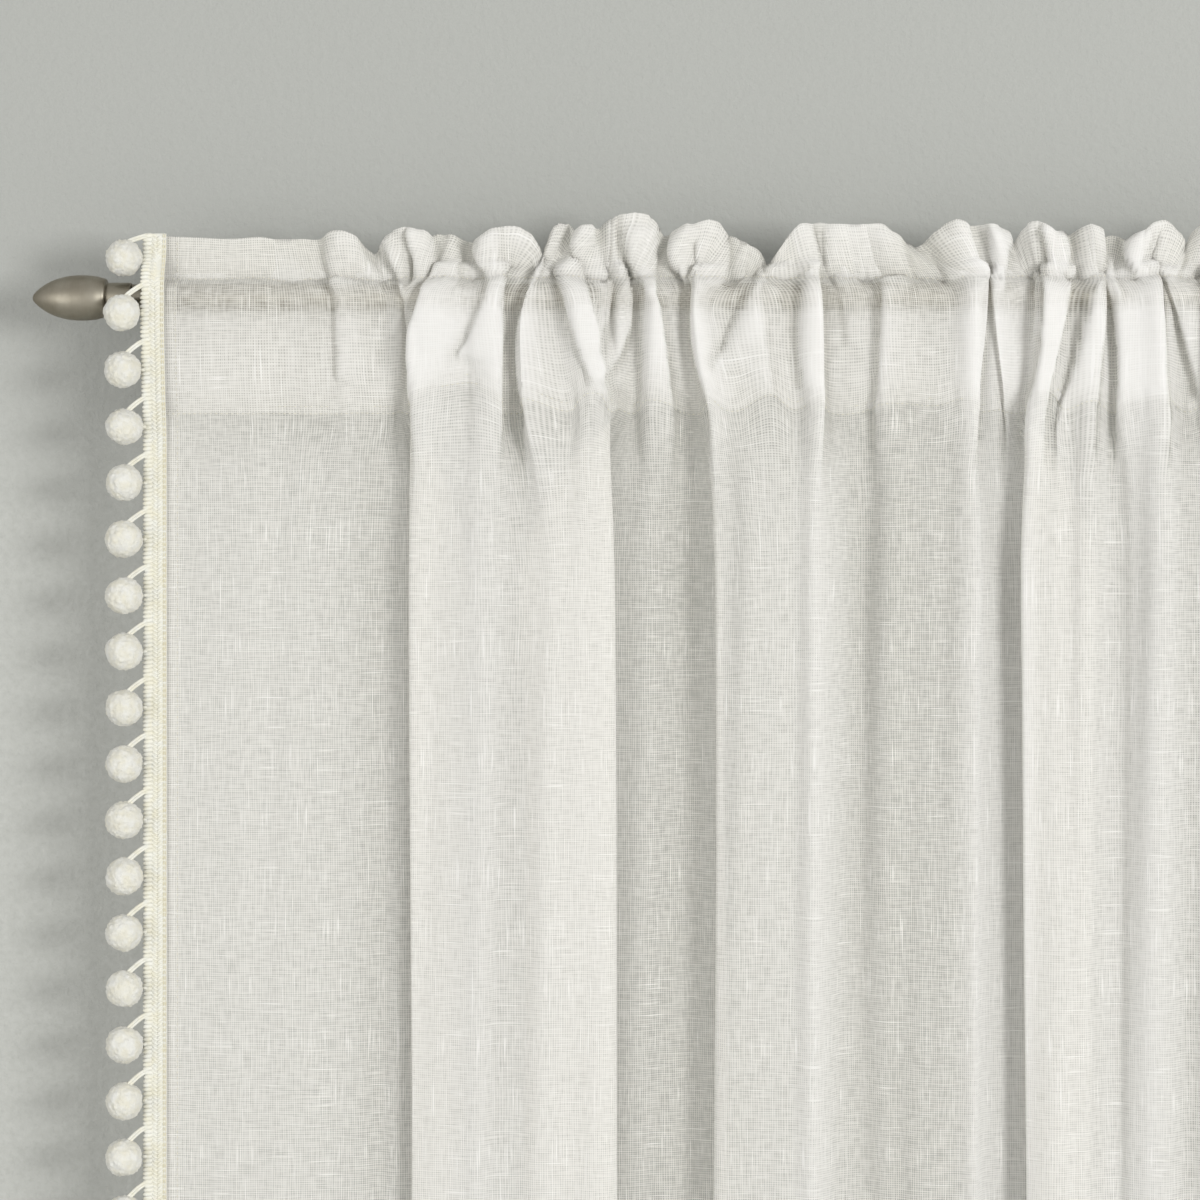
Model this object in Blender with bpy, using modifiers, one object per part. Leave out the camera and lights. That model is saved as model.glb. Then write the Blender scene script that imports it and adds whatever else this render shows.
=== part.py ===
"""Voile curtain on a curtain rod: a slot-top panel gathered on a round rod, with pom-pom trim."""

import math

import bpy
import numpy as np

METRE = 0.001                    # every size below is in millimetres

# Driving dimensions. X runs along the rod, Y away from the viewer, Z up; the rod's axis is Z = 0.
ROD_DIAMETER = 16.0
SPREAD = 904.0                   # the gathered panel, edge to edge
ROD_PAST_CLOTH = 10.1            # bare rod beyond each edge
DROP_BELOW_ROD = 1335.0
POCKET = 79.0                    # cloth between the two stitch lines of the rod pocket
CLOTH = 1.2                      # one layer
FRILL = 2.2                      # the two layers of the frill, sewn as one
HEM = 1.8                        # turned edge
BOTTOM_HEM = 38.0
FIT = 0.5                        # cloth over the rod
GAP = 0.3                        # between pieces that touch when fitted
SEWN_GAP = 0.6                   # between the braid and the cloth it is sewn to

# The folds, from the left edge, one row each. All sizes in mm, depth positive away from the viewer:
#  frill top: across, depth, height | top stitch: across | pocket: across, puff forward |
#  lower stitch: across, depth | hanging: across at the fall, across at the hem, depth
FOLDS = (
    # frill            stitch pocket     lower stitch   fall   hem    depth
    (0, 0, 36.2, 0, 0, 0, 0, 0, 0, 0, 0),  # left edge
    (17.8, 0, 35.5, 17.8, 17.8, 0, 17.8, 0, 17.8, 17.8, 0),  # hem line
    (19.6, 0, 35.4, 19.6, 19.6, 0, 19.6, 0, 19.6, 19.6, 0),  # hem line, cloth side
    (54.6, -2, 33.5, 54.6, 54.6, 1, 54.6, 0, 57.5, 60.5, -4),  # slack panel
    (102, 2, 33.8, 107.9, 111.5, 0, 112.1, 1, 106.7, 109.1, -1),  # pocket crease
    (117.4, -4, 37.2, 119.8, 121, 3, 122.2, -1, 121, 122.8, 1),  # small peak
    (134.6, 5, 25.3, 136.4, 140.5, 0, 142.3, 3, 137.6, 137.6, 9),  # soft valley
    (152.4, -8, 40, 150.6, 150.6, 6, 148.8, 5, 150.6, 150.6, 6.5),  # tapered fold
    (169, 2, 32.8, 164.9, 154.2, 2, 151.8, 5.5, 186.8, 186.8, 7.5),  # pleat A, back turn
    (173.7, 5.5, 35.1, 167.8, 156.3, 4, 154.2, 3.5, 186.8, 186.8, 3.8),
    (177.9, 5, 35.1, 169.9, 158.3, 9, 156.3, -2, 156, 156, -3.8),  # pleat A, left edge
    (182.6, 3, 35.1, 172, 160.4, 15, 158.3, -6.5, 156, 156, -8),
    (189.8, 8, 33.2, 186.2, 182.1, 20, 182.1, -9, 177.9, 179.1, -12),  # pleat A, first swell
    (197.5, -3, 37.3, 197.5, 195.7, 20, 195.7, -9, 199.2, 200.4, -17),  # pleat A, soft ridge
    (213.5, -10, 39.6, 211.7, 207, 15, 206.4, -6.5, 210.5, 210.5, -11),  # first swell, right edge
    (226.5, -4, 31.8, 214.4, 209.3, 4, 208.7, 0, 217.6, 217, -8.5),
    (234.2, 6, 20.5, 221.2, 215.9, 0, 215.3, 3.5, 224.2, 223, -9),  # narrow recess
    (237.8, 1, 37.1, 227.7, 220.3, 4, 220.9, 0, 228.9, 227.7, -11),  # second swell, left edge
    (243.1, -6.5, 43, 230.7, 222.7, 14, 223.6, -6.5, 236, 235.4, -13),
    (252, 2.5, 39.4, 237.2, 241.9, 6, 250.8, -3, 250.2, 249.1, -12),  # slanting wedge
    (260.9, -5, 38.1, 245.5, 256.2, 17, 262.1, -8.5, 263.3, 263.3, -13),  # slanting ridge
    (269.2, 4, 25, 268, 269.2, 13, 271, -7, 275.7, 279.9, -8),  # pleat A, right edge
    (274.6, 0, 39.2, 271.6, 271.9, 7, 273.4, -2.5, 275.7, 279.9, -3.8),
    (282.9, -8, 45.7, 276.3, 274.6, 4, 275.7, 1.5, 224.7, 220.6, 1.5),  # pleat A, return
    (292.3, -9, 47.4, 283.5, 277.5, 9, 278.1, 5, 224.7, 220.6, 5.5),
    (302.4, -3, 40.3, 290, 288.8, 1, 287.6, 5, 285.8, 284.6, 9),  # flat on the rod
    (308.4, 6, 36.7, 295.3, 298.9, 14, 297.7, -1, 298.9, 297.7, 9.5),  # narrow pleat
    (313.7, 2, 39, 301.2, 307.2, 11, 308.4, 2, 309, 307.8, 14),  # narrow pleat, right edge
    (320.8, -5, 42.5, 313.7, 315.5, 0, 319.6, 7.5, 321.4, 321.4, 20),  # deep recess
    (327.3, -9, 43.7, 320.8, 319.3, 1, 327.3, 6, 339.8, 341.6, 10),  # pleat B, back turn
    (332.1, -9.5, 43.6, 323.2, 321.4, 4, 329.4, 3, 340.7, 342.8, 5.8),
    (336.8, -6, 41.8, 325.6, 323.5, 9, 331.2, -2, 335.9, 338, 1.8),  # pleat B, left edge
    (342.2, 1, 34.1, 327.9, 325.9, 15, 333.3, -6.5, 336.2, 338.3, -4),
    (355.8, -3, 32.8, 351.1, 337.4, 4, 346.3, -4, 354, 355.8, -10),  # slanting wedge
    (367.1, 6, 18.5, 361.1, 364.7, 16, 368.8, -8.5, 371.8, 372.4, -13),  # ridge
    (373, -6, 38.7, 371.2, 380.1, 6, 383.7, -5, 383.7, 381.9, -12),  # half-way
    (386, -9, 42.1, 393.8, 396.1, 15, 397.3, -9.5, 394.9, 391.4, -18),  # pleat B, ridge
    (395.5, -5, 37.3, 398.5, 400.9, 4, 403.2, -2, 408, 405.6, -3),  # ridge, right side
    (407.4, -9, 42, 416.3, 419.8, 1, 421, 0, 423.4, 423.4, 11),  # flat on the rod
    (428.1, -10, 41.9, 434.1, 437.6, 12, 440, -5, 440, 440, 0),  # broad swell
    (444.2, -6, 40.6, 460.8, 464.9, 10, 466.7, -7, 466.7, 466.7, -6),  # broad swell, middle
    (453.6, 6, 29.3, 475.6, 478.6, 14, 479.7, -7, 480.3, 480.3, -9),  # broad swell, bulge
    (468.5, -6, 41, 489.2, 487.4, 13, 486.9, -6.5, 489.2, 490.4, -11),  # broad swell, right edge
    (482.7, -9, 42.2, 494, 490.4, 4, 489.5, 0, 495.2, 496.3, 2.5),
    (490.4, 0, 37.4, 498.7, 499.9, 7, 504.6, 1, 508.2, 510, 11.5),  # recess fold
    (499.3, -7, 42.1, 507, 510, 0, 512.4, 6.5, 529, 531.3, 12.5),  # recess
    (511.2, 6, 24.8, 520.1, 519.5, 1, 517.4, 6, 557.4, 559.8, 8.5),  # pleat C, back turn
    (516.5, 0, 34.2, 523.3, 522.4, 4, 519.8, 3.5, 557.4, 559.8, 4.8),
    (521.2, -6, 40.1, 526.6, 524.8, 9, 521.8, -2, 517.4, 520.4, -3),  # pleat C, left edge
    (528.4, -10, 42.5, 529.5, 527.5, 15, 523.9, -6.5, 517.4, 520.4, -7.2),
    (539, -4, 37.1, 544.4, 538.4, 16, 534.9, -9, 534.9, 536.1, -12.5),  # pleat C, first swell
    (545, 3, 34.7, 550.3, 544.4, 6, 543.2, -4, 545.6, 546.7, -10.5),  # swell, right side
    (557.4, -7, 41.7, 559.8, 559.8, 13, 556.2, -8, 553.9, 555, -12),  # ridge
    (567.5, 6, 36.9, 566.9, 568.7, 1, 571.7, 0, 575.2, 575.2, 1),  # narrow recess
    (577.6, 3, 36.2, 571.1, 575.2, 10, 577.6, -4.5, 582.3, 581.1, -5),  # pleat, left side
    (594.2, -10, 41.5, 594.2, 596, 15, 598.3, -9, 600.1, 601.3, -15),  # pleat, ridge
    (614.9, 5, 30.1, 601.9, 609.6, 3, 614.9, -1, 616.7, 616.7, -3),  # slanting wedge
    (626.8, -8, 41.9, 619.1, 623.2, 13, 627.4, -6, 633.3, 634.5, -9),  # broad pleat
    (640.4, -9, 41.2, 635.7, 642.8, 15, 648.7, -8, 654.7, 657, -13),  # broad pleat, middle
    (653.5, -5, 38.8, 651.7, 660.6, 13, 668.9, -6.5, 677.2, 680.8, -8),  # broad pleat, right edge
    (661.8, 3, 31, 656.5, 663.9, 7, 671.3, -2.5, 677.2, 680.8, -3.8),
    (668.3, 6, 28.6, 661.2, 666.5, 3, 673.4, 1.5, 645.2, 641.6, 1.5),  # broad pleat, return
    (676, 2, 33.3, 666.5, 669.5, 1, 675.7, 5, 645.2, 641.6, 5.5),
    (686.7, -6, 39.1, 683.1, 687.9, 3, 690.8, 8, 695, 695, 15),  # recess
    (702.7, -8, 40.2, 708.6, 712.8, 2, 716.9, 6, 756.7, 760.2, 8.5),  # pleat D, back turn
    (711, 1, 31.9, 712.8, 715.8, 5, 719.6, 3.5, 756.7, 760.2, 4.8),
    (717.5, 5, 27.1, 716.9, 718.7, 10, 721.7, -2, 725.8, 729.4, -3),  # pleat D, left edge
    (724.6, -3, 34.8, 721.1, 721.7, 15, 724.1, -6.5, 725.8, 729.4, -7.2),
    (741.2, -9, 40.6, 741.2, 744.8, 16, 748.4, -9, 750.7, 751.9, -15),  # pleat D, ridge
    (765, 6, 29.8, 765, 769.7, 3, 774.5, -2, 779.2, 779.2, -4),  # soft valley
    (786.3, -8, 39.7, 789.9, 794.6, 14, 799.4, -8, 806.5, 807.7, -13),  # pleat, ridge
    (806.5, -3, 35.5, 813.6, 818.9, 12, 824.9, -6, 830.8, 833.8, -8),  # pleat, right edge
    (814.8, 5, 28.3, 819.5, 822.5, 4, 827.5, 0, 834.9, 837.9, -2),
    (832.6, -5, 36.5, 837.3, 841.5, 1, 845.6, 5, 850.4, 851.5, 9),  # recess
    (859.8, 4, 29.8, 862.8, 865.8, 6, 867.6, -3, 871.7, 871.7, -4),  # last swell
    (884.8, -1, 30.8, 884.8, 884.8, 0, 884.8, 0, 884.8, 884.8, 0),  # hem line, cloth side
    (886.5, -1, 30.8, 886.5, 886.5, 0, 886.5, 0, 886.5, 886.5, 0),  # hem line
    (904, 0, 30.7, 904, 904, 0, 904, 0, 904, 904, 0),  # right edge
)
(FRILL_X, FRILL_Y, FRILL_Z, NECK_X, POCKET_X, PUFF,
 SEAM_X, SEAM_Y, FALL_X, HEM_X, FALL_Y) = range(11)
WIDE = 20.0                      # a stretch of cloth wider than this takes one more column

FALL_Z = -150.0                  # from here down the folds hang free
HANG_Z = (-DROP_BELOW_ROD, -DROP_BELOW_ROD + BOTTOM_HEM, -DROP_BELOW_ROD + BOTTOM_HEM + 3,
          -900.0, -500.0, -250.0, FALL_Z)
OPENING_Z = -98.0                # the pleats begin to lap over each other

# How each layer of the pocket passes round the rod: height, distance from the rod's axis,
# share of the puff it takes, tilt of its face in degrees, share of the way to the lower stitch.
ROUND = (ROD_DIAMETER / 2 + FIT) / math.cos(math.radians(19)) + CLOTH / 2
POCKET_ROWS = (
    (None, 9.2, 0.60, 0, 0.60),
    (-22.0, 9.6, 1.00, 0, 0.15),
    (-5.0, 9.5, 0.85, 8, 0.0),
    (ROUND * math.cos(math.radians(76)), ROUND * math.sin(math.radians(76)), 0.60, 32, 0.0),
    (ROUND * math.cos(math.radians(38)), ROUND * math.sin(math.radians(38)), 0.22, 54, 0.0),
)
NECK_Z = (ROD_DIAMETER / 2 + FIT) / math.cos(math.radians(19))
BACK_SHARE = 0.4                 # the back layer puffs less than the front

BRAID = (14.0, 1.6)              # width, thickness
BRAID_LEFT = -3.3                # its outer edge, from the cloth's left edge
POM_RADIUS = 10.8
POM_PITCH = 33.3
FIRST_POM_Z = 22.9
POMS = 41
POM_FROM_BRAID = (10.4, 6.0)     # from the braid's outer edge: across, forward
CORD = (2.7, 1.6)                # a loop, seen flat
CORD_RISE = 16.8                 # from a pom-pom's centre up to where its loop leaves the braid
CORD_AIM = (0.36, 0.93)          # from a pom-pom's centre towards its loop: across, up

# A finial, turned: distance along it from the end of the rod, radius.
FINIAL = ((59.3, 0.0), (58.9, 1.6), (57.3, 3.6), (54.0, 6.4), (48.0, 9.9), (39.5, 12.6),
          (30.5, 13.5), (21.5, 12.9), (15.6, 11.5), (14.8, 10.9), (14.8, 9.0), (0.6, 9.0),
          (0.0, 8.4), (0.0, 0.0))
TURNED_SIDES = 32


def collection(name, helper=False):
    made = bpy.data.collections.new(name)
    bpy.context.scene.collection.children.link(made)
    made.hide_render = helper
    return made


def material(name, colour, roughness, metallic=0.0):
    made = bpy.data.materials.new(name)
    made.use_nodes = True
    shader = made.node_tree.nodes["Principled BSDF"]
    shader.inputs["Base Color"].default_value = (*colour, 1)
    shader.inputs["Roughness"].default_value = roughness
    shader.inputs["Metallic"].default_value = metallic
    made.diffuse_color = (*colour, 1)
    return made


def mesh_object(name, points, faces, where, made_of):
    mesh = bpy.data.meshes.new(name)
    mesh.from_pydata((np.asarray(points) * METRE).tolist(), [], [tuple(face) for face in faces])
    mesh.materials.append(made_of)
    made = bpy.data.objects.new(name, mesh)
    where.objects.link(made)
    return made


def fold_columns():
    """The fold rows, with one more column halfway over each wide stretch, as a smooth curve has it."""
    folds = np.array(FOLDS, float)
    last = len(folds) - 1
    found = [folds[0]]
    for i in range(last):
        across, deep = folds[i + 1][[FALL_X, FALL_Y]] - folds[i][[FALL_X, FALL_Y]]
        if math.hypot(across, deep) > WIDE:
            ends = folds[max(i - 1, 0)] + folds[min(i + 2, last)]
            found.append((9 * (folds[i] + folds[i + 1]) - ends) / 16)
        found.append(folds[i + 1])
    return np.array(found)


def side_hems(folds):
    """True for the columns that lie on the turned side hems."""
    return (folds[:, FALL_X] < 18.5) | (folds[:, FALL_X] > SPREAD - 18.5)


def row_normals(x, y):
    """Per column, the plan direction out of the cloth's front, lengthened at a sharp fold."""
    steps = np.diff(np.column_stack([x, y]), axis=0)
    steps /= np.linalg.norm(steps, axis=1)[:, None]
    facing = np.column_stack([steps[:, 1], -steps[:, 0]])
    facing = np.vstack([facing[:1], facing, facing[-1:]])
    both = facing[:-1] + facing[1:]
    both /= np.linalg.norm(both, axis=1)[:, None]
    return both / np.maximum((both * facing[1:]).sum(1), 0.66)[:, None]


def offset(x, y, z, distance, tilt=0.0):
    """The row moved out of the cloth's face by a distance; tilt lifts that direction in degrees."""
    flat = row_normals(x, y) * np.reshape(distance * math.cos(math.radians(tilt)), (-1, 1))
    lift = np.broadcast_to(distance * math.sin(math.radians(tilt)), x.shape)
    return np.column_stack([x + flat[:, 0], y + flat[:, 1], z + lift])


def hanging_row(folds, z):
    share = (z - FALL_Z) / (-DROP_BELOW_ROD - FALL_Z)
    x = folds[:, FALL_X] * (1 - share) + folds[:, HEM_X] * share
    thick = np.where(side_hems(folds) | (z < HANG_Z[2]), HEM, CLOTH)
    height = np.full(len(x), z)
    return (offset(x, folds[:, FALL_Y], height, thick / 2),
            offset(x, folds[:, FALL_Y], height, -thick / 2))


def opening_row(folds):
    x = (folds[:, FALL_X] + folds[:, SEAM_X]) / 2
    y = (folds[:, FALL_Y] + folds[:, SEAM_Y]) / 2
    height = np.full(len(x), OPENING_Z)
    return offset(x, y, height, CLOTH / 2), offset(x, y, height, -CLOTH / 2)


def seam_heights(folds):
    """A puffed stretch takes up cloth, so its lower stitch line sits higher."""
    return NECK_Z - np.sqrt(POCKET ** 2 - 5.9 * np.clip(folds[:, PUFF], 0, 20) ** 2)


def pocket_row(folds, row, side):
    """One height of a pocket layer: its outer and inner face. side is -1 in front, 1 behind."""
    height, distance, puffed, tilt, down = row
    seam_z = seam_heights(folds)
    z = 0.4 * -22.0 + 0.6 * seam_z if height is None else np.full(len(folds), height)
    share = 1.0 if side < 0 else BACK_SHARE
    y = side * (distance + share * puffed * folds[:, PUFF])
    y = y * (1 - 0.75 * down) + folds[:, SEAM_Y] * 0.75 * down
    upper = min(max((height or 0) / NECK_Z, 0), 1)
    x = folds[:, POCKET_X] * (1 - down) + folds[:, SEAM_X] * down
    x = x * (1 - upper) + folds[:, NECK_X] * upper
    outer = offset(x, y, z, -side * CLOTH / 2, -side * tilt)
    inner = offset(x, y, z, side * CLOTH / 2, -side * tilt)
    return outer, inner


def frill_rows(folds):
    """The neck above the rod, then halfway up the frill, then its top edge."""
    found = []
    for up in (0.0, 0.45, 1.0):
        x = folds[:, NECK_X] * (1 - up) + folds[:, FRILL_X] * up
        y = folds[:, FRILL_Y] * up
        z = (NECK_Z + 2.2) * (1 - up) + folds[:, FRILL_Z] * up
        found.append((offset(x, y, z, FRILL / 2), offset(x, y, z, -FRILL / 2)))
    return found


def voile_rows():
    """Front, back, inner front and inner back faces of the panel, row by row from the hem up."""
    folds = fold_columns()
    rows = [hanging_row(folds, z) + (None, None) for z in HANG_Z]
    rows.append(opening_row(folds) + (None, None))
    x, y, z = folds[:, SEAM_X], folds[:, SEAM_Y], seam_heights(folds)
    pinch = np.column_stack([x, y, z])
    rows.append((offset(x, y, z, FRILL / 2), offset(x, y, z, -FRILL / 2), pinch, pinch))
    for row in POCKET_ROWS:
        front, inner_front = pocket_row(folds, row, -1)
        back, inner_back = pocket_row(folds, row, 1)
        rows.append((front, back, inner_front, inner_back))
    frill = frill_rows(folds)
    x = folds[:, NECK_X]
    pinch = np.column_stack([x, 0 * x, 0 * x + NECK_Z])
    rows.append(frill[0] + (pinch, pinch))
    rows += [row + (None, None) for row in frill[1:]]
    return rows


def strip_faces(lower, upper, outward):
    """Triangles between two rows of point numbers; both faces of the cloth split the same way."""
    faces = []
    for i in range(len(lower) - 1):
        a, b, c, d = lower[i], lower[i + 1], upper[i + 1], upper[i]
        pair = [(a, b, c), (a, c, d)]
        faces += pair if outward else [face[::-1] for face in pair]
    return faces


def build_voile(where, made_of):
    rows = voile_rows()
    points = []
    numbers = []
    for row in rows:
        known = {}
        names = []
        for part in row:
            if part is not None and id(part) not in known:
                known[id(part)] = np.arange(len(points), len(points) + len(part))
                points.extend(part)
            names.append(None if part is None else known[id(part)])
        numbers.append(names)
    faces = []
    for low, high in zip(numbers, numbers[1:]):
        faces += strip_faces(low[0], high[0], True)
        faces += strip_faces(low[1], high[1], False)
        if low[2] is not None and high[2] is not None:
            faces += strip_faces(low[2], high[2], False)
            faces += strip_faces(low[3], high[3], True)
    faces += strip_faces(numbers[0][1], numbers[0][0], True)
    faces += strip_faces(numbers[-1][0], numbers[-1][1], True)
    for end, turned in ((0, True), (-1, False)):
        for low, high in zip(numbers, numbers[1:]):
            faces += [face[::-1] if turned else face for face in end_faces(low, high, end)]
    points = np.array(points) - (SPREAD / 2, 0, 0)
    return mesh_object("voile_panel", points, faces, where, made_of)


def end_faces(low, high, end):
    """The cut edge of the cloth between two rows, seen from the right-hand end."""
    lf, lb, lif, lib = [None if part is None else part[end] for part in low]
    hf, hb, hif, hib = [None if part is None else part[end] for part in high]
    if lif is None and hif is None:
        return [(lf, lb, hb), (lf, hb, hf)]
    if lif is None:
        return [(lf, hif, hf), (lf, lb, hif), (lb, hb, hif)]
    if hif is None:
        return [(lf, lif, hf), (lif, hb, hf), (lif, lb, hb)]
    found = [(lf, lif, hif), (lf, hif, hf)]
    return found + [(lib, lb, hb), (lib, hb, hib)]


def edge_line():
    """The front face of the cloth down its left edge, from the frill's top: depth, height."""
    return np.array([row[0][0][1:] for row in reversed(voile_rows())])


def beside(line, distance):
    """The same line moved forward, square to itself."""
    steps = np.diff(line, axis=0)
    steps /= np.linalg.norm(steps, axis=1)[:, None]
    facing = np.column_stack([steps[:, 1], -steps[:, 0]])
    facing = np.vstack([facing[:1], facing, facing[-1:]])
    both = facing[:-1] + facing[1:]
    both /= np.linalg.norm(both, axis=1)[:, None]
    return line + both / (both * facing[1:]).sum(1)[:, None] * distance


def depth_at(line, z):
    return np.interp(z, line[::-1, 1], line[::-1, 0])


def pom_centres():
    """Each pom-pom hangs beside the braid's outer edge, a little in front of it."""
    middle = beside(edge_line(), SEWN_GAP + BRAID[1] / 2)
    heights = FIRST_POM_Z - POM_PITCH * np.arange(POMS)
    x = BRAID_LEFT - SPREAD / 2 - POM_FROM_BRAID[0]
    return [np.array([x, depth_at(middle, z) - POM_FROM_BRAID[1], z]) for z in heights]


def braid_heights(top, bottom, bends, roots):
    """Heights of the braid's rows: its ends, its bends, and both sides of every loop's root."""
    keep = [z for z in bends if all(abs(z - root) > CORD[0] for root in roots)]
    edges = [root + side * CORD[0] / 2 for root in roots for side in (1, -1)]
    return sorted([top, bottom] + keep + edges, reverse=True)


def build_braid(where, made_of):
    """Braid and its loops as one comb: a ribbon in front of the cloth's edge, a loop per pom-pom."""
    line = edge_line()
    back, front = beside(line, SEWN_GAP), beside(line, SEWN_GAP + BRAID[1])
    top, bottom = line[0, 1], line[-1, 1]
    centres = pom_centres()
    roots = [min(centre[2] + CORD_RISE, top - 2.5) for centre in centres]
    heights = braid_heights(top, bottom, line[1:-1, 1], roots)
    left = BRAID_LEFT - SPREAD / 2
    points = []
    faces = []
    for z in heights:
        for x, side in ((left, front), (left + BRAID[0], front), (left + BRAID[0], back), (left, back)):
            points.append((x, depth_at(side, z), z))
    for row in range(len(heights) - 1):
        a, b = 4 * row, 4 * row + 4
        rooted = any(abs((heights[row] + heights[row + 1]) / 2 - root) < 0.1 for root in roots)
        for k in range(3 if rooted else 4):
            faces.append((a + k, b + k, b + (k + 1) % 4, a + (k + 1) % 4))
        if rooted:
            middle = (heights[row] + heights[row + 1]) / 2
            centre = min(centres, key=lambda c: abs(c[2] + CORD_RISE - middle))
            add_loop(points, faces, (a, b, b + 3, a + 3), centre)
    last = 4 * len(heights) - 4
    faces += [(3, 0, 1, 2), (last + 3, last + 2, last + 1, last)]
    return mesh_object("pompom_braid", points, faces, where, made_of)


def add_loop(points, faces, root, centre):
    """One loop of cord from the braid's edge to just off its pom-pom."""
    start = np.mean([points[i] for i in root], axis=0)
    aim = np.array([CORD_AIM[0], 0, CORD_AIM[1]])
    aim /= np.linalg.norm(aim)
    tip = centre + aim * (POM_RADIUS + GAP)
    along = (start - tip) / np.linalg.norm(start - tip)
    ring = root
    for share, facing in ((0.5, along + aim), (1.0, aim)):
        at = start * (1 - share) + tip * share
        wide = np.cross(facing, (0, 1, 0))
        wide *= CORD[0] / 2 / np.linalg.norm(wide)
        if wide[2] < 0:
            wide = -wide
        thin = np.array([0, CORD[1] / 2, 0])
        first = len(points)
        points.extend([at + wide - thin, at - wide - thin, at - wide + thin, at + wide + thin])
        new = tuple(range(first, first + 4))
        for k in range(4):
            after = (k + 1) % 4
            faces.append((ring[k], new[k], new[after], ring[after]))
        ring = new
    faces.append(ring[::-1])


def build_poms(where, made_of):
    for number, centre in enumerate(pom_centres(), 1):
        bpy.ops.mesh.primitive_ico_sphere_add(subdivisions=2, radius=POM_RADIUS * METRE,
                                              location=tuple(centre * METRE))
        made = bpy.context.object
        made.name = f"pompom_{number:02d}"
        made.data.name = made.name
        made.data.materials.append(made_of)
        for owner in list(made.users_collection):
            owner.objects.unlink(made)
        where.objects.link(made)


def build_rod(where, made_of):
    length = SPREAD + 2 * ROD_PAST_CLOTH
    bpy.ops.mesh.primitive_cylinder_add(vertices=TURNED_SIDES, radius=ROD_DIAMETER / 2 * METRE,
                                        depth=length * METRE, rotation=(0, math.radians(90), 0))
    made = bpy.context.object
    made.name = "rod"
    made.data.materials.append(made_of)
    for owner in list(made.users_collection):
        owner.objects.unlink(made)
    where.objects.link(made)


def build_finial(name, side, where, made_of):
    """A bullet-shaped finial turned about the rod's axis. side is -1 at the left, 1 at the right."""
    outline = [(radius, 0, along) for along, radius in FINIAL]
    mesh = bpy.data.meshes.new(name)
    mesh.from_pydata((np.array(outline) * METRE).tolist(), [(i, i + 1) for i in range(len(FINIAL) - 1)], [])
    mesh.materials.append(made_of)
    made = bpy.data.objects.new(name, mesh)
    made.location = (side * (SPREAD / 2 + ROD_PAST_CLOTH + GAP) * METRE, 0, 0)
    made.rotation_euler = (0, side * math.radians(90), 0)
    where.objects.link(made)
    turn = made.modifiers.new("turned", "SCREW")
    turn.axis = "Z"
    turn.steps = TURNED_SIDES
    turn.render_steps = TURNED_SIDES
    turn.use_merge_vertices = True
    turn.merge_threshold = 0.0001


def main():
    for made in list(bpy.data.objects):
        bpy.data.objects.remove(made, do_unlink=True)
    curtain = collection("voile_curtain_on_rod")
    nickel = material("brushed_nickel", (0.40, 0.37, 0.32), 0.38, 1.0)
    voile = material("ivory_voile", (0.86, 0.84, 0.79), 0.85)
    trim = material("ivory_braid", (0.84, 0.81, 0.71), 0.9)
    felt = material("ivory_felt", (0.87, 0.85, 0.79), 0.95)
    build_rod(curtain, nickel)
    build_finial("finial_left", -1, curtain, nickel)
    build_finial("finial_right", 1, curtain, nickel)
    build_voile(curtain, voile)
    build_braid(curtain, trim)
    build_poms(curtain, felt)


main()
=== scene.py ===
import math

import bmesh
import bpy
import numpy as np
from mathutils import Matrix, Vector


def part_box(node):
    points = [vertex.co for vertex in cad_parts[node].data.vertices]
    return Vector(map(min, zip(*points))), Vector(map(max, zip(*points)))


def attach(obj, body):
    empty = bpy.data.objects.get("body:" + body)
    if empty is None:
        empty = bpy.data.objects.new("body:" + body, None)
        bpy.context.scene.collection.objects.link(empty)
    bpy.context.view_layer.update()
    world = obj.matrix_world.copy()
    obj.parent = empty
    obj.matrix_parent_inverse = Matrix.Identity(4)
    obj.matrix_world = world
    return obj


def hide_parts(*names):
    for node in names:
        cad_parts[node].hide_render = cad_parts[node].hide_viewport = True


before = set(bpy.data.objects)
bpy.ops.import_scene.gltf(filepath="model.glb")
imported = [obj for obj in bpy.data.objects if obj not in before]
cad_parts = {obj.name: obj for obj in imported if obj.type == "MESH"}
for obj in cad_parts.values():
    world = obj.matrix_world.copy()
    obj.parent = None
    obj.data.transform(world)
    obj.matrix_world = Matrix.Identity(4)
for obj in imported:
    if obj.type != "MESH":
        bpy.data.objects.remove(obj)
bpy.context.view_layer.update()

# Driving sizes in millimetres, as in the CAD: X along the rod, Y away from the viewer, Z up,
# the rod's axis at Z = 0 and the gathered panel centred on X = 0.
METRE = 0.001
SPREAD = 904.0
DROP_BELOW_ROD = 1335.0
ROD_RADIUS = 8.0
ROD_END = 462.1
SHEET_WIDTH = 1400.0  # the voile before it was gathered
TWO_LAYERS = 1.0  # between the layers that a stitch line holds together

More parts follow.
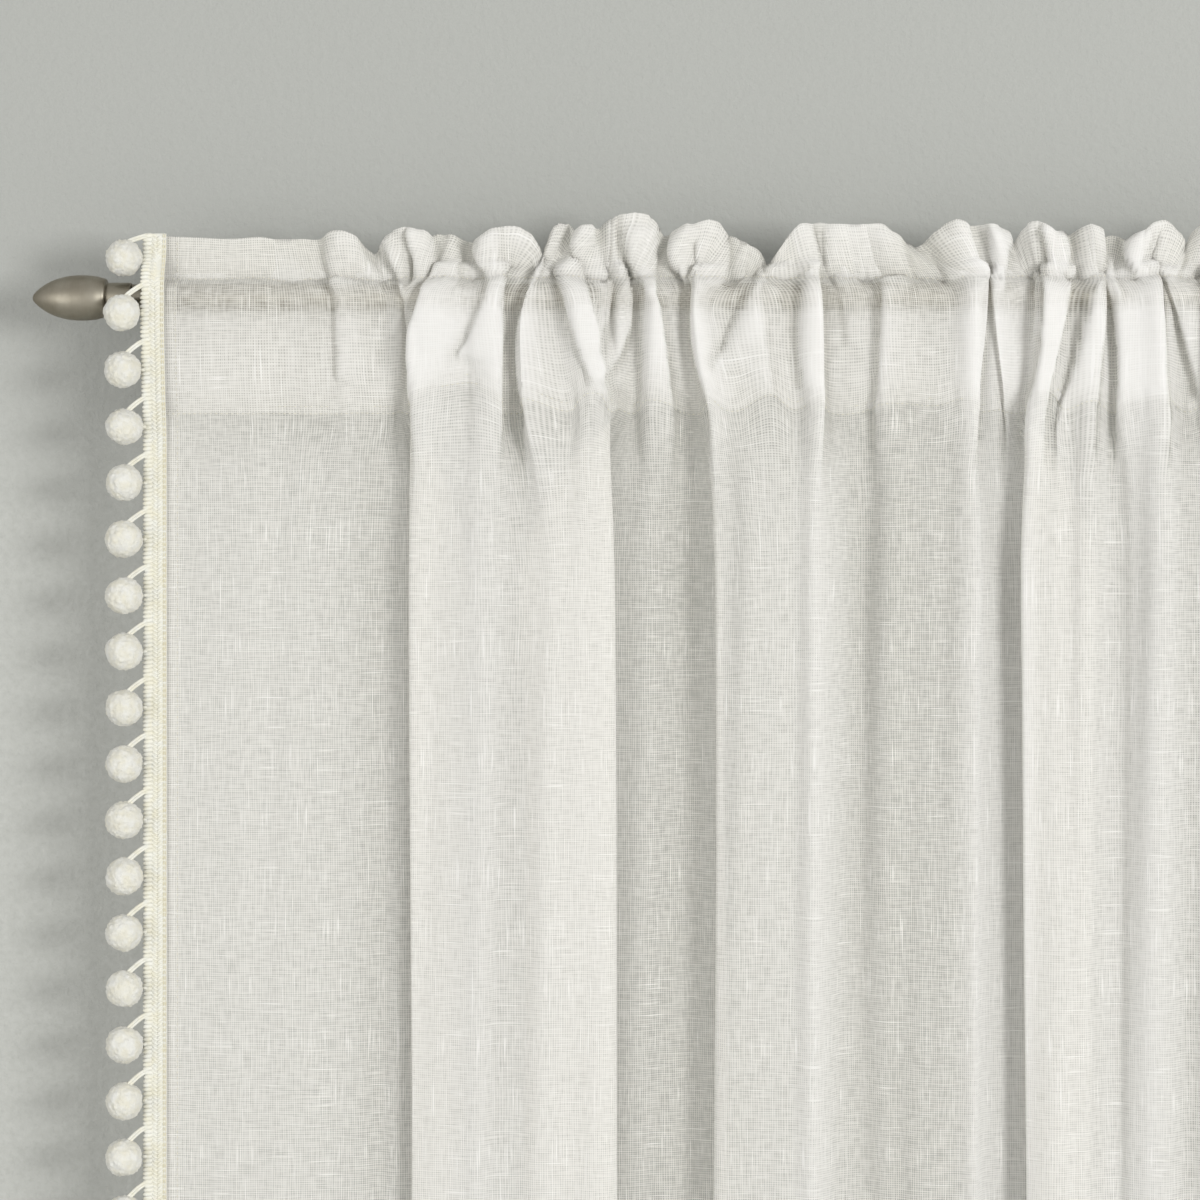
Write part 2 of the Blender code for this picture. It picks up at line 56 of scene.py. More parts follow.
# The folds, from the left edge, one row each, depth positive away from the viewer:
#  frill top: across, depth | top stitch: across | pocket: across, puff forward |
#  lower stitch: across, depth | hanging: across at the fall, across at the hem, depth
FOLDS = np.array((
    (0, 0, 0, 0, 0, 0, 0, 0, 0, 0),  # left edge
    (17.8, 0, 17.8, 17.8, 0, 17.8, 0, 17.8, 17.8, 0),  # hem line
    (19.6, 0, 19.6, 19.6, 0, 19.6, 0, 19.6, 19.6, 0),  # hem line, cloth side
    (54.6, -2, 54.6, 54.6, 1, 54.6, 0, 57.5, 60.5, -4),  # slack panel
    (102, 2, 107.9, 111.5, 0, 112.1, 1, 106.7, 109.1, -1),  # pocket crease
    (117.4, -4, 119.8, 121, 3, 122.2, -1, 121, 122.8, 1),  # small peak
    (134.6, 5, 136.4, 140.5, 0, 142.3, 3, 137.6, 137.6, 9),  # soft valley
    (152.4, -8, 150.6, 150.6, 6, 148.8, 5, 150.6, 150.6, 6.5),  # tapered fold
    (169, 2, 164.9, 154.2, 2, 151.8, 5.5, 186.8, 186.8, 7.5),  # pleat A, back turn
    (173.7, 5.5, 167.8, 156.3, 4, 154.2, 3.5, 186.8, 186.8, 3.8),
    (177.9, 5, 169.9, 158.3, 9, 156.3, -2, 156, 156, -3.8),  # pleat A, left edge
    (182.6, 3, 172, 160.4, 15, 158.3, -6.5, 156, 156, -8),
    (189.8, 8, 186.2, 182.1, 20, 182.1, -9, 177.9, 179.1, -12),  # pleat A, first swell
    (197.5, -3, 197.5, 195.7, 20, 195.7, -9, 199.2, 200.4, -17),  # pleat A, soft ridge
    (213.5, -10, 211.7, 207, 15, 206.4, -6.5, 210.5, 210.5, -11),  # first swell, right edge
    (226.5, -4, 214.4, 209.3, 4, 208.7, 0, 217.6, 217, -8.5),
    (234.2, 6, 221.2, 215.9, 0, 215.3, 3.5, 224.2, 223, -9),  # narrow recess
    (237.8, 1, 227.7, 220.3, 4, 220.9, 0, 228.9, 227.7, -11),  # second swell, left edge
    (243.1, -6.5, 230.7, 222.7, 14, 223.6, -6.5, 236, 235.4, -13),
    (252, 2.5, 237.2, 241.9, 6, 250.8, -3, 250.2, 249.1, -12),  # slanting wedge
    (260.9, -5, 245.5, 256.2, 17, 262.1, -8.5, 263.3, 263.3, -13),  # slanting ridge
    (269.2, 4, 268, 269.2, 13, 271, -7, 275.7, 279.9, -8),  # pleat A, right edge
    (274.6, 0, 271.6, 271.9, 7, 273.4, -2.5, 275.7, 279.9, -3.8),
    (282.9, -8, 276.3, 274.6, 4, 275.7, 1.5, 224.7, 220.6, 1.5),  # pleat A, return
    (292.3, -9, 283.5, 277.5, 9, 278.1, 5, 224.7, 220.6, 5.5),
    (302.4, -3, 290, 288.8, 1, 287.6, 5, 285.8, 284.6, 9),  # flat on the rod
    (308.4, 6, 295.3, 298.9, 14, 297.7, -1, 298.9, 297.7, 9.5),  # narrow pleat
    (313.7, 2, 301.2, 307.2, 11, 308.4, 2, 309, 307.8, 14),  # narrow pleat, right edge
    (320.8, -5, 313.7, 315.5, 0, 319.6, 7.5, 321.4, 321.4, 20),  # deep recess
    (327.3, -9, 320.8, 319.3, 1, 327.3, 6, 339.8, 341.6, 10),  # pleat B, back turn
    (332.1, -9.5, 323.2, 321.4, 4, 329.4, 3, 340.7, 342.8, 5.8),
    (336.8, -6, 325.6, 323.5, 9, 331.2, -2, 335.9, 338, 1.8),  # pleat B, left edge
    (342.2, 1, 327.9, 325.9, 15, 333.3, -6.5, 336.2, 338.3, -4),
    (355.8, -3, 351.1, 337.4, 4, 346.3, -4, 354, 355.8, -10),  # slanting wedge
    (367.1, 6, 361.1, 364.7, 16, 368.8, -8.5, 371.8, 372.4, -13),  # ridge
    (373, -6, 371.2, 380.1, 6, 383.7, -5, 383.7, 381.9, -12),  # half-way
    (386, -9, 393.8, 396.1, 15, 397.3, -9.5, 394.9, 391.4, -18),  # pleat B, ridge
    (395.5, -5, 398.5, 400.9, 4, 403.2, -2, 408, 405.6, -3),  # ridge, right side
    (407.4, -9, 416.3, 419.8, 1, 421, 0, 423.4, 423.4, 11),  # flat on the rod
    (428.1, -10, 434.1, 437.6, 12, 440, -5, 440, 440, 0),  # broad swell
    (444.2, -6, 460.8, 464.9, 10, 466.7, -7, 466.7, 466.7, -6),  # broad swell, middle
    (453.6, 6, 475.6, 478.6, 14, 479.7, -7, 480.3, 480.3, -9),  # broad swell, bulge
    (468.5, -6, 489.2, 487.4, 13, 486.9, -6.5, 489.2, 490.4, -11),  # broad swell, right edge
    (482.7, -9, 494, 490.4, 4, 489.5, 0, 495.2, 496.3, 2.5),
    (490.4, 0, 498.7, 499.9, 7, 504.6, 1, 508.2, 510, 11.5),  # recess fold
    (499.3, -7, 507, 510, 0, 512.4, 6.5, 529, 531.3, 12.5),  # recess
    (511.2, 6, 520.1, 519.5, 1, 517.4, 6, 557.4, 559.8, 8.5),  # pleat C, back turn
    (516.5, 0, 523.3, 522.4, 4, 519.8, 3.5, 557.4, 559.8, 4.8),
    (521.2, -6, 526.6, 524.8, 9, 521.8, -2, 517.4, 520.4, -3),  # pleat C, left edge
    (528.4, -10, 529.5, 527.5, 15, 523.9, -6.5, 517.4, 520.4, -7.2),
    (539, -4, 544.4, 538.4, 16, 534.9, -9, 534.9, 536.1, -12.5),  # pleat C, first swell
    (545, 3, 550.3, 544.4, 6, 543.2, -4, 545.6, 546.7, -10.5),  # swell, right side
    (557.4, -7, 559.8, 559.8, 13, 556.2, -8, 553.9, 555, -12),  # ridge
    (567.5, 6, 566.9, 568.7, 1, 571.7, 0, 575.2, 575.2, 1),  # narrow recess
    (577.6, 3, 571.1, 575.2, 10, 577.6, -4.5, 582.3, 581.1, -5),  # pleat, left side
    (594.2, -10, 594.2, 596, 15, 598.3, -9, 600.1, 601.3, -15),  # pleat, ridge
    (614.9, 5, 601.9, 609.6, 3, 614.9, -1, 616.7, 616.7, -3),  # slanting wedge
    (626.8, -8, 619.1, 623.2, 13, 627.4, -6, 633.3, 634.5, -9),  # broad pleat
    (640.4, -9, 635.7, 642.8, 15, 648.7, -8, 654.7, 657, -13),  # broad pleat, middle
    (653.5, -5, 651.7, 660.6, 13, 668.9, -6.5, 677.2, 680.8, -8),  # broad pleat, right edge
    (661.8, 3, 656.5, 663.9, 7, 671.3, -2.5, 677.2, 680.8, -3.8),
    (668.3, 6, 661.2, 666.5, 3, 673.4, 1.5, 645.2, 641.6, 1.5),  # broad pleat, return
    (676, 2, 666.5, 669.5, 1, 675.7, 5, 645.2, 641.6, 5.5),
    (686.7, -6, 683.1, 687.9, 3, 690.8, 8, 695, 695, 15),  # recess
    (702.7, -8, 708.6, 712.8, 2, 716.9, 6, 756.7, 760.2, 8.5),  # pleat D, back turn
    (711, 1, 712.8, 715.8, 5, 719.6, 3.5, 756.7, 760.2, 4.8),
    (717.5, 5, 716.9, 718.7, 10, 721.7, -2, 725.8, 729.4, -3),  # pleat D, left edge
    (724.6, -3, 721.1, 721.7, 15, 724.1, -6.5, 725.8, 729.4, -7.2),
    (741.2, -9, 741.2, 744.8, 16, 748.4, -9, 750.7, 751.9, -15),  # pleat D, ridge
    (765, 6, 765, 769.7, 3, 774.5, -2, 779.2, 779.2, -4),  # soft valley
    (786.3, -8, 789.9, 794.6, 14, 799.4, -8, 806.5, 807.7, -13),  # pleat, ridge
    (806.5, -3, 813.6, 818.9, 12, 824.9, -6, 830.8, 833.8, -8),  # pleat, right edge
    (814.8, 5, 819.5, 822.5, 4, 827.5, 0, 834.9, 837.9, -2),
    (832.6, -5, 837.3, 841.5, 1, 845.6, 5, 850.4, 851.5, 9),  # recess
    (859.8, 4, 862.8, 865.8, 6, 867.6, -3, 871.7, 871.7, -4),  # last swell
    (884.8, -1, 884.8, 884.8, 0, 884.8, 0, 884.8, 884.8, 0),  # hem line, cloth side
    (886.5, -1, 886.5, 886.5, 0, 886.5, 0, 886.5, 886.5, 0),  # hem line
    (904, 0, 904, 904, 0, 904, 0, 904, 904, 0),  # right edge
), float)
FRILL_X, FRILL_Y, NECK_X, POCKET_X, PUFF, SEAM_X, SEAM_Y, FALL_X, HEM_X, FALL_Y = range(10)

# Creases of the heading, laid over the folds, one row each: where the crease runs, across and
# height at its top, its middle and its foot | the side of it that stands forward, 1 right, -1
# left | how wide and how far forward that side stands, and how soft the crease's edge is
CREASES = np.array((
    # frill
    (106.1, 35.5, 106.7, 20.1, 109.7, 7, 1, 25, 3.5, 5),  # small lobe, left side
    (125.7, 33, 132.2, 19.9, 139.9, 6.8, -1, 12, 3, 4),  # small lobe, right side
    (136.4, 33, 144.7, 18.7, 151.8, 3.2, 1, 8, 6, 3.8),  # loop, left ridge
    (154.2, 35.2, 157.7, 22.2, 157.7, 6.7, 1, 12, 7, 3.8),  # loop, front strip
    (167.8, 37.5, 169.6, 22.1, 167.2, 11.4, -1, 8, 4, 3.8),  # loop, strip's right edge
    (182.6, 32.7, 185, 19.6, 185.6, 8.9, -1, 13, 4, 4),  # back stretch ends
    (193.9, 32.6, 194.5, 21.9, 200.4, 13.6, 1, 18, 8, 3.8),  # round lobe, left edge
    (208.7, 37.3, 208.7, 23, 209.9, 14.7, -1, 9, 2.5, 3.8),  # round lobe, crease
    (230.1, 32.4, 234.2, 20.5, 232.5, 8.7, -1, 15, 6, 3.8),  # round lobe, right edge
    (250.2, 39.4, 254.4, 24, 262.1, 8.5, 1, 12, 5, 4.5),  # twisted strip, left edge
    (264, 39.3, 268.5, 26.2, 273, 8.4, -1, 12, 3.5, 4.5),  # twisted strip, right edge
    (278.1, 42.8, 278.1, 26.2, 281.1, 15.5, -1, 11, 4.5, 4.4),  # high lobe, groove's left side
    (282.3, 36.8, 284.6, 21.4, 292.9, 1.2, 1, 18, 5, 6),  # high lobe, groove's right side
    (302.4, 36.7, 301.2, 18.9, 301.8, 4.7, -1, 14, 5, 3.8),  # high lobe, right edge
    (310.1, 36.7, 310.1, 23.6, 317.3, 10.5, 1, 15, 8, 3.8),  # lobe, left edge
    (325, 28.3, 325.6, 18.8, 326.1, 9.3, 1, 13, 3.5, 4.4),  # lobe, groove
    (342.8, 36.5, 344.5, 22.2, 342.8, 8, -1, 11, 5, 3.8),  # lobe, right edge
    (358.2, 31.6, 364.1, 18.5, 368.3, 7.9, -1, 18, 4, 4.4),  # low lobe, right side
    (393.8, 38.5, 396.7, 26.7, 398.5, 18.3, -1, 14, 4, 3.8),  # broad lobe, crease
    (400.9, 36.1, 402.1, 25.4, 402.1, 17.1, 1, 18, 3, 5),  # broad lobe, behind the crease
    (447.7, 33.5, 450.7, 21.6, 454.2, 9.7, -1, 20, 4, 9),  # broad lobe falls to the valley
    (463.7, 32.2, 468.5, 20.3, 472, 12, 1, 24, 4, 9),  # lobe rises from the valley
    (486.3, 39.2, 489.2, 24.9, 496.3, 14.2, -1, 13, 5, 3.8),  # lobe's edge over the next
    (496.9, 35.5, 497.5, 23.7, 499.3, 9.4, 1, 11, 2.5, 4),  # next lobe, groove
    (510, 34.3, 508.2, 20.1, 507.6, 5.8, -1, 13, 5, 3.8),  # next lobe, right edge
    (529, 36.5, 533.1, 24.7, 533.7, 14, 1, 11, 8, 3.8),  # loop, front strip
    (545, 34.1, 545, 22.2, 542, 13.9, -1, 8, 5, 3.8),  # loop, strip's right edge
    (563.4, 36.3, 563.9, 22.1, 561.6, 7.9, -1, 15, 5, 3.8),  # lobe, right edge
    (577, 32.7, 578.2, 22, 582.9, 13.7, 1, 13, 8, 3.8),  # last lobe, left edge
    (591.8, 33.8, 589.4, 23.1, 585.9, 13.7, -1, 7, 3, 4),  # last lobe, groove's left side
    (597.7, 33.8, 595.4, 23.1, 591.8, 13.6, 1, 15, 3, 5),  # last lobe, groove's right side
    (614.3, 33.7, 612, 20.6, 609, 11.1, -1, 13, 5, 3.8),  # last lobe, right edge
    (661, 34, 661, 22, 658, 10, -1, 14, 5, 3.8),  # broad lobe, right edge
    (672, 33, 676, 20, 682, 9, 1, 20, 6, 4.4),  # lobe, left side
    (710, 36, 711, 22, 712, 8, -1, 15, 5, 3.8),  # lobe, right edge
    (719, 33, 721, 20, 722, 10, 1, 18, 7, 3.8),  # lobe, left edge
    (752, 36, 758, 22, 764, 8, -1, 18, 5, 4),  # lobe falls away
    (775, 35, 778, 22, 782, 8, 1, 18, 5, 4),  # lobe rises
    (814, 33, 812, 20, 812, 8, -1, 15, 5, 3.8),  # lobe, right edge
    (824, 33, 830, 20, 838, 8, 1, 20, 4, 4),  # last lobe, left side
    # pocket
    (109.7, 8.2, 112, -18, 112.5, -46, 1, 14, 3, 7),  # pocket crease
    (151.2, 5.6, 153.6, -14.6, 156, -38.3, 1, 5, 3.5, 3.8),  # tapered fold
    (171.4, 18.5, 161.3, -5.7, 157.7, -69.2, 1, 30, 9, 3.8),  # pleat A, left edge
    (201.6, 13.6, 198.1, -6, 184, -34, 1, 17, 4.5, 8),  # small pleat, slanting left side
    (212.9, 17.1, 211.1, -17.9, 208.1, -68.3, -1, 18, 7, 3.8),  # pleat A, first right edge
    (228.9, 15.8, 220.6, -9.1, 221.8, -68.4, 1, 14, 7, 3.8),  # next pleat, left edge
    (242.5, 15.7, 250, -9.2, 262, -50, 1, 20, 6, 6),  # slanting ridge, left side
    (257.5, 19.2, 266.5, -9.3, 274, -58, -1, 16, 5, 5),  # slanting ridge, right edge
    (275.7, 7.2, 273.4, -14.1, 269.8, -31.9, -1, 8, 4, 3.8),  # narrow fold
    (282.3, 17.9, 286.4, 2.4, 272.8, -47.9, -1, 9, 6, 3.8),  # curved fold
    (292.3, 10.7, 291.8, -21.3, 291.8, -62.9, 1, 12, 3, 6),  # narrow pleat, left side
    (301.2, 8.3, 306, -27.4, 310.7, -68.9, -1, 15, 7, 3.8),  # narrow pleat, right edge
    (325.6, 16.4, 323.2, -24.5, 333.3, -66.1, 1, 20, 8, 3.8),  # pleat B, left edge
    (362, 16.5, 349.5, -12, 336, -40, 1, 18, 5, 9),  # slanting ridge, left edge
    (365.3, 5.5, 366.5, -21.8, 371.2, -53.8, -1, 12, 3, 5),  # slanting ridge, right side
    (390.2, 17.2, 384.3, -7.1, 386.6, -51.6, 1, 11, 4, 5),  # ridge, left side
    (396.7, 18.4, 399.1, -16.1, 399.7, -69.4, -1, 12, 8, 3.8),  # ridge, right edge
    (405.6, 10, 409.2, -4.3, 413, -26, 1, 12, 2.5, 7),  # soft fold beyond the ridge
    (433.5, 7.5, 431.7, -28.1, 429.9, -69.6, 1, 14, 5, 4.4),  # broad swell, left side
    (496.3, 17.8, 495.2, -16.6, 488.6, -70, -1, 23, 9, 3.8),  # broad swell, right edge
    (496.9, 11.8, 499.9, -16.7, 508.2, -70.1, 1, 17, 5, 3.8),  # recess fold
    (524.8, 11.7, 524.8, -4.9, 523.6, -22.7, 1, 5, 4, 3.8),  # thin fold beside pleat C
    (529.5, 16.4, 528.4, -19.8, 518.9, -73.1, 1, 18, 9, 3.8),  # pleat C, left edge
    (547.3, 16.3, 542, -16.9, 531.3, -70.2, -1, 15, 7, 3.8),  # pleat C, first right edge
    (556.8, 4.3, 549.7, -25.9, 536.1, -76.2, 1, 9, 6, 4.4),  # ridge, left side
    (563.4, 11.4, 562.2, -20, 557.4, -70.4, -1, 9, 6, 3.8),  # ridge, right side
    (563.9, 11.4, 569.3, -17.1, 571.7, -70.5, 1, 15, 7, 3.8),  # pleat, left edge
    (571.7, 17.3, 573.4, 6.6, 575.2, -0.5, -1, 7, 4, 4.4),  # pleat, small nub
    (595.4, 17.2, 596.6, -17.2, 600.1, -70.6, -1, 21, 8, 3.8),  # pleat, right edge
    (597.7, 14.8, 607.2, -14.3, 619.1, -55.9, 1, 19, 7, 3.8),  # slanting ridge
    (624, 16, 622, -17, 626, -68, 1, 24, 6, 4.4),  # broad pleat, left side
    (656, 17, 664, -18, 672, -69, -1, 20, 8, 3.8),  # broad pleat, right edge
    (684, 14, 688, -17, 691, -68, 1, 16, 4, 4),  # recess fold
    (717, 16, 719, -17, 722, -69, 1, 20, 8, 3.8),  # pleat D, left edge
    (765, 15, 770, -17, 775, -68, -1, 24, 6, 4),  # pleat D, right side
    (786, 15, 784, -17, 786, -68, 1, 18, 5, 4),  # pleat, left side
    (806, 16, 818, -17, 826, -69, -1, 22, 8, 3.8),  # pleat, right edge
    (852, 14, 856, -17, 860, -68, 1, 18, 4, 5),  # last swell, left side
), float)
TOP_X, TOP_Z, MIDDLE_X, MIDDLE_Z, FOOT_X, FOOT_Z, SIDE, WIDTH, LIFT, EDGE = range(10)

# The frill's outline, left to right: across, height.
FRILL_TOP = np.array((
    (0, 36), (31, 35), (51.5, 33.5), (81, 35), (102, 34), (110.5, 36.5), (117, 37), (123, 35.5),
    (129.5, 29), (134, 25.5), (137, 29.5), (140, 34.5), (145.5, 39), (152.5, 40), (163.5, 38.5),
    (168, 35), (171, 37), (180.5, 36.5), (186, 33.5), (193.5, 32.5), (197, 35), (203, 38.5),
    (210.5, 39), (219, 39), (226.5, 35), (231.5, 28), (234, 19.5), (235.5, 19.5), (236.5, 30),
    (239.5, 40), (244.5, 43.5), (250, 43), (253, 38), (258, 39.5), (262, 39.5), (266.5, 40),
    (271.5, 44), (280, 47.5), (289, 48.5), (296.5, 47), (302, 42), (305.5, 36.5), (310, 36.5),
    (314.5, 40), (322.5, 42), (332, 43.5), (338.5, 42), (343, 35.5), (348, 34), (354.5, 31.5),
    (361.5, 25.5), (366.5, 18.5), (369, 19), (373.5, 27), (379.5, 35.5), (385.5, 41), (390, 42),
    (407.5, 41.5), (423.5, 42), (434, 40), (443, 36), (449.5, 31), (453.5, 29.5), (458.5, 30.5),
    (466, 36.5), (472.5, 40.5), (478.5, 42), (484.5, 41), (490, 41), (496.5, 42), (503, 41),
    (508, 36.5), (510.5, 29.5), (512, 25), (513.5, 30.5), (517, 38), (522.5, 41.5), (526.5, 42),
    (532, 39), (536.5, 37), (542, 37), (545.5, 36), (551, 39.5), (557.5, 41.5), (562, 38),
    (564.5, 33.5), (570.5, 36.5), (575, 35.5), (579, 32.5), (582.5, 34.5), (588.5, 37.5),
    (594, 40.5), (599.5, 41.5), (606.5, 39.5), (612, 36), (615, 30), (618, 37), (624, 43),
    (628, 42.5), (634, 42), (641, 41.5), (648, 40.5), (654, 38.5), (659, 34), (663, 28.5),
    (667, 29.5), (671, 33.5), (678, 37), (687, 39), (697, 40.5), (704, 40), (708, 36), (712, 29),
    (716, 28), (720, 33), (727, 38), (736, 40.5), (746, 40.5), (755, 37), (762, 32), (768, 30.5),
    (774, 34), (781, 38.5), (790, 40), (799, 39), (806, 35.5), (812, 29.5), (816, 29), (821, 33),
    (830, 36.5), (840, 36), (850, 32), (860, 30), (872, 31), (886, 31), (904, 30.5),
), float)

POCKET = 79.0
NECK_Z = 10.0
FALL_Z = -150.0
BOTTOM_HEM = 38.0
COLUMN_STEP = 1.72  # spacing of the cloth's columns along the gathered sheet
LEAST_COLUMNS = 3  # between two folds

# Places along the cloth, measured from the frill's top edge, negative behind it.
TOP_STITCH = 27
ROD_PLACE = 42  # level with the rod's axis
LOWER_STITCH = 106
RAW_EDGE = 110
FOOT = ROD_PLACE + DROP_BELOW_ROD

BRAID_LEFT = -3.3 - SPREAD / 2  # the braid's outer edge
BRAID_WIDTH = 14.0
BRAID_BEHIND = 1.4  # from the middle of the cloth forward to the braid's back
RIB_PITCH = 2.5
LOOP_RISE = 16.8  # from a pom-pom's centre up to where its loop leaves the braid


# ---- curves ----

def smooth(share):
    """Soft step from 0 to 1 as the share goes from 0 to 1."""
    share = np.clip(share, 0, 1)
    return share * share * (3 - 2 * share)


def mixed(a, b, share):
    return a * (1 - share) + b * share


def unit(ways):
    """Directions, each scaled to length 1."""
    return ways / np.linalg.norm(ways, axis=-1, keepdims=True)


LEAST_KNOT = 1e-4  # keeps two points of a curve that coincide apart


def spline(points, counts):
    """A smooth curve through the points, counts[i] samples on stretch i, and the last point."""
    padded = np.vstack([2 * points[:1] - points[1:2], points, 2 * points[-1:] - points[-2:-1]])
    lengths = np.linalg.norm(np.diff(padded[:, :2], axis=0), axis=1)
    knots = np.concatenate([[0], np.cumsum(np.sqrt(lengths) + LEAST_KNOT)])
    found = []
    for i, count in enumerate(counts):
        k = knots[i:i + 4]
        p = padded[i:i + 4]
        t = np.linspace(k[1], k[2], count, endpoint=False)[:, None]
        a = [p[j] * (k[j + 1] - t) / (k[j + 1] - k[j]) + p[j + 1] * (t - k[j]) / (k[j + 1] - k[j])
             for j in range(3)]
        b = [a[j] * (k[j + 2] - t) / (k[j + 2] - k[j]) + a[j + 1] * (t - k[j]) / (k[j + 2] - k[j])
             for j in range(2)]
        found.append(b[0] * (k[2] - t) / (k[2] - k[1]) + b[1] * (t - k[1]) / (k[2] - k[1]))
    return np.vstack(found + [points[-1:]])


def curve_through(points, steps):
    """A smooth curve in space through a few points, steps samples on each stretch."""
    points = np.array(points, float)
    return spline(points, [steps] * (len(points) - 1))


def along_line(points, pitch):
    """Evenly spaced places along a line of points, and the line's direction at each."""
    run = np.concatenate([[0], np.cumsum(np.linalg.norm(np.diff(points, axis=0), axis=1))])
    places = np.arange(pitch / 2, run[-1], pitch)
    at = np.column_stack([np.interp(places, run, points[:, i]) for i in range(3)])
    return at, unit(np.gradient(at, axis=0))


# ---- the cloth ----

def columns_per_stretch():
    """How many columns each stretch between two fold rows takes, from its hanging length."""
    steps = np.hypot(np.diff(FOLDS[:, FALL_X]), np.diff(FOLDS[:, FALL_Y]))
    return np.maximum(np.round(steps / COLUMN_STEP), LEAST_COLUMNS).astype(int)


COUNTS = columns_per_stretch()


def station(x, y, z):
    """One height of the cloth: a smooth row through the fold rows' points."""
    return spline(np.column_stack([x, y, np.broadcast_to(z, x.shape)]), COUNTS)


TAKE_UP = 5.9  # how strongly a puffed stretch draws up its lower stitch line
MOST_PUFF = 20.0


def seam_heights():
    """A puffed stretch takes up cloth, so its lower stitch line sits higher."""
    puff = np.clip(FOLDS[:, PUFF], 0, MOST_PUFF)
    return NECK_Z - np.sqrt(POCKET ** 2 - TAKE_UP * puff ** 2)


PUFF_SHARE = 0.55  # of the folds' puff in front; the creases give the rest
BACK_PUFF_SHARE = 0.3  # and in the pocket's back layer
SEAM_PULL = 0.75  # how much of the stitch line's depth the pocket takes over
LEVEL_Z = -22.0  # below this the pocket's heights follow its stitch line
BELOW_LEVEL = 0.6  # share of the way down from there, for a row without a height


def pocket_station(height, distance, puffed, down, side):
    """One height of a pocket layer round the rod. side is -1 in front, 1 behind."""
    if height is None:
        z = mixed(LEVEL_Z, seam_heights(), BELOW_LEVEL)
        near_neck = 0.0
    else:
        z = np.full(len(FOLDS), height)
        near_neck = min(max(height / NECK_Z, 0), 1)
    share = puffed * (PUFF_SHARE if side < 0 else BACK_PUFF_SHARE)
    y = mixed(side * (distance + share * FOLDS[:, PUFF]), FOLDS[:, SEAM_Y], SEAM_PULL * down)
    x = mixed(FOLDS[:, POCKET_X], FOLDS[:, SEAM_X], down)
    return station(mixed(x, FOLDS[:, NECK_X], near_neck), y, z)


# height, distance from the rod's axis, share of the puff, share of the way to the lower stitch
POCKET_ROWS = ((8.4, 6.2, 0.20, 0.0), (3.0, 10.4, 0.60, 0.0), (-5.0, 10.6, 0.85, 0.0),
               (LEVEL_Z, 9.8, 1.00, 0.15), (None, 9.2, 0.60, 0.60))
POCKET_PLACES = (34, 41, 50, 67, 88)


FRILL_ROOT_Z = NECK_Z + 0.8


def frill_station(up):
    """A height of the frill, from the neck above the rod (0) to its top edge (1)."""
    row = station(mixed(FOLDS[:, NECK_X], FOLDS[:, FRILL_X], up), up * FOLDS[:, FRILL_Y], 0.0)
    top = station(FOLDS[:, FRILL_X], FOLDS[:, FRILL_Y], 0.0)
    outline = np.interp(top[:, 0], FRILL_TOP[:, 0], FRILL_TOP[:, 1])
    row[:, 2] = mixed(FRILL_ROOT_Z, outline, up)
    return row


# the raw end behind, tucked up: place, and how far off the lower stitch line
RAW_END = ((-RAW_EDGE, (0, 2.2, 0.6)), (-LOWER_STITCH, (0, 0.7, 2.6)))
# the frill's rows: place, share of the way up it, how far each layer stands off its middle
FRILL_ROWS = ((TOP_STITCH, 0.0, TWO_LAYERS / 2), (18, 0.3, 0.7), (9, 0.66, 0.9), (1.2, 1.0, 0.8))
RIM_RISE = 0.9  # the folded rim over its two layers
OPENING_PLACE, OPENING_Z = 140, -98.0
HANGING_HEIGHTS = (FALL_Z, -240.0, -420.0, -700.0, -1000.0, -DROP_BELOW_ROD)


def sheet_rows():
    """Stations down the one sheet, from its turned-over end behind, over the frill, to the foot:
    each one's distance along the cloth from the frill's top, its points, and how far the
    cloth stands off them, out of its face."""
    half = TWO_LAYERS / 2
    seam = station(FOLDS[:, SEAM_X], FOLDS[:, SEAM_Y], seam_heights())
    frill = [(place, frill_station(up), stand) for place, up, stand in FRILL_ROWS]
    pocket = list(zip(POCKET_PLACES, POCKET_ROWS))
    rows = [(place, seam + off, -half) for place, off in RAW_END]
    rows += [(-place, pocket_station(*row, 1), 0) for place, row in reversed(pocket)]
    rows += [(-place, points, -stand) for place, points, stand in frill]
    rows.append((0, frill[-1][1] + (0, 0, RIM_RISE), 0))
    rows += reversed(frill)
    rows += [(place, pocket_station(*row, -1), 0) for place, row in pocket]
    rows.append((LOWER_STITCH, seam, half))
    opening = station(mixed(FOLDS[:, SEAM_X], FOLDS[:, FALL_X], 0.5),
                      mixed(FOLDS[:, SEAM_Y], FOLDS[:, FALL_Y], 0.5), OPENING_Z)
    rows.append((OPENING_PLACE, opening, 0))
    for z in HANGING_HEIGHTS:
        share = (z - FALL_Z) / (-DROP_BELOW_ROD - FALL_Z)
        x = mixed(FOLDS[:, FALL_X], FOLDS[:, HEM_X], share)
        rows.append((ROD_PLACE - z, station(x, FOLDS[:, FALL_Y], z), 0))
    return rows


# how finely the sheet is cut into rows along its length: from, to, step
ROW_STEPS = ((-RAW_EDGE, -TOP_STITCH, 7), (-TOP_STITCH, -1.2, 3.2), (-1.2, 1.2, 0.8),
             (1.2, TOP_STITCH, 2.0), (TOP_STITCH, LOWER_STITCH, 2.6), (LOWER_STITCH, 150, 4.4),
             (150, 260, 14), (260, FOOT - BOTTOM_HEM, 50), (FOOT - BOTTOM_HEM, FOOT, 9.5))


def row_places():
    found = []
    for start, end, step in ROW_STEPS:
        count = max(int(round((end - start) / step)), 1)
        found.extend(np.linspace(start, end, count, endpoint=False))
    return np.array(found + [FOOT])


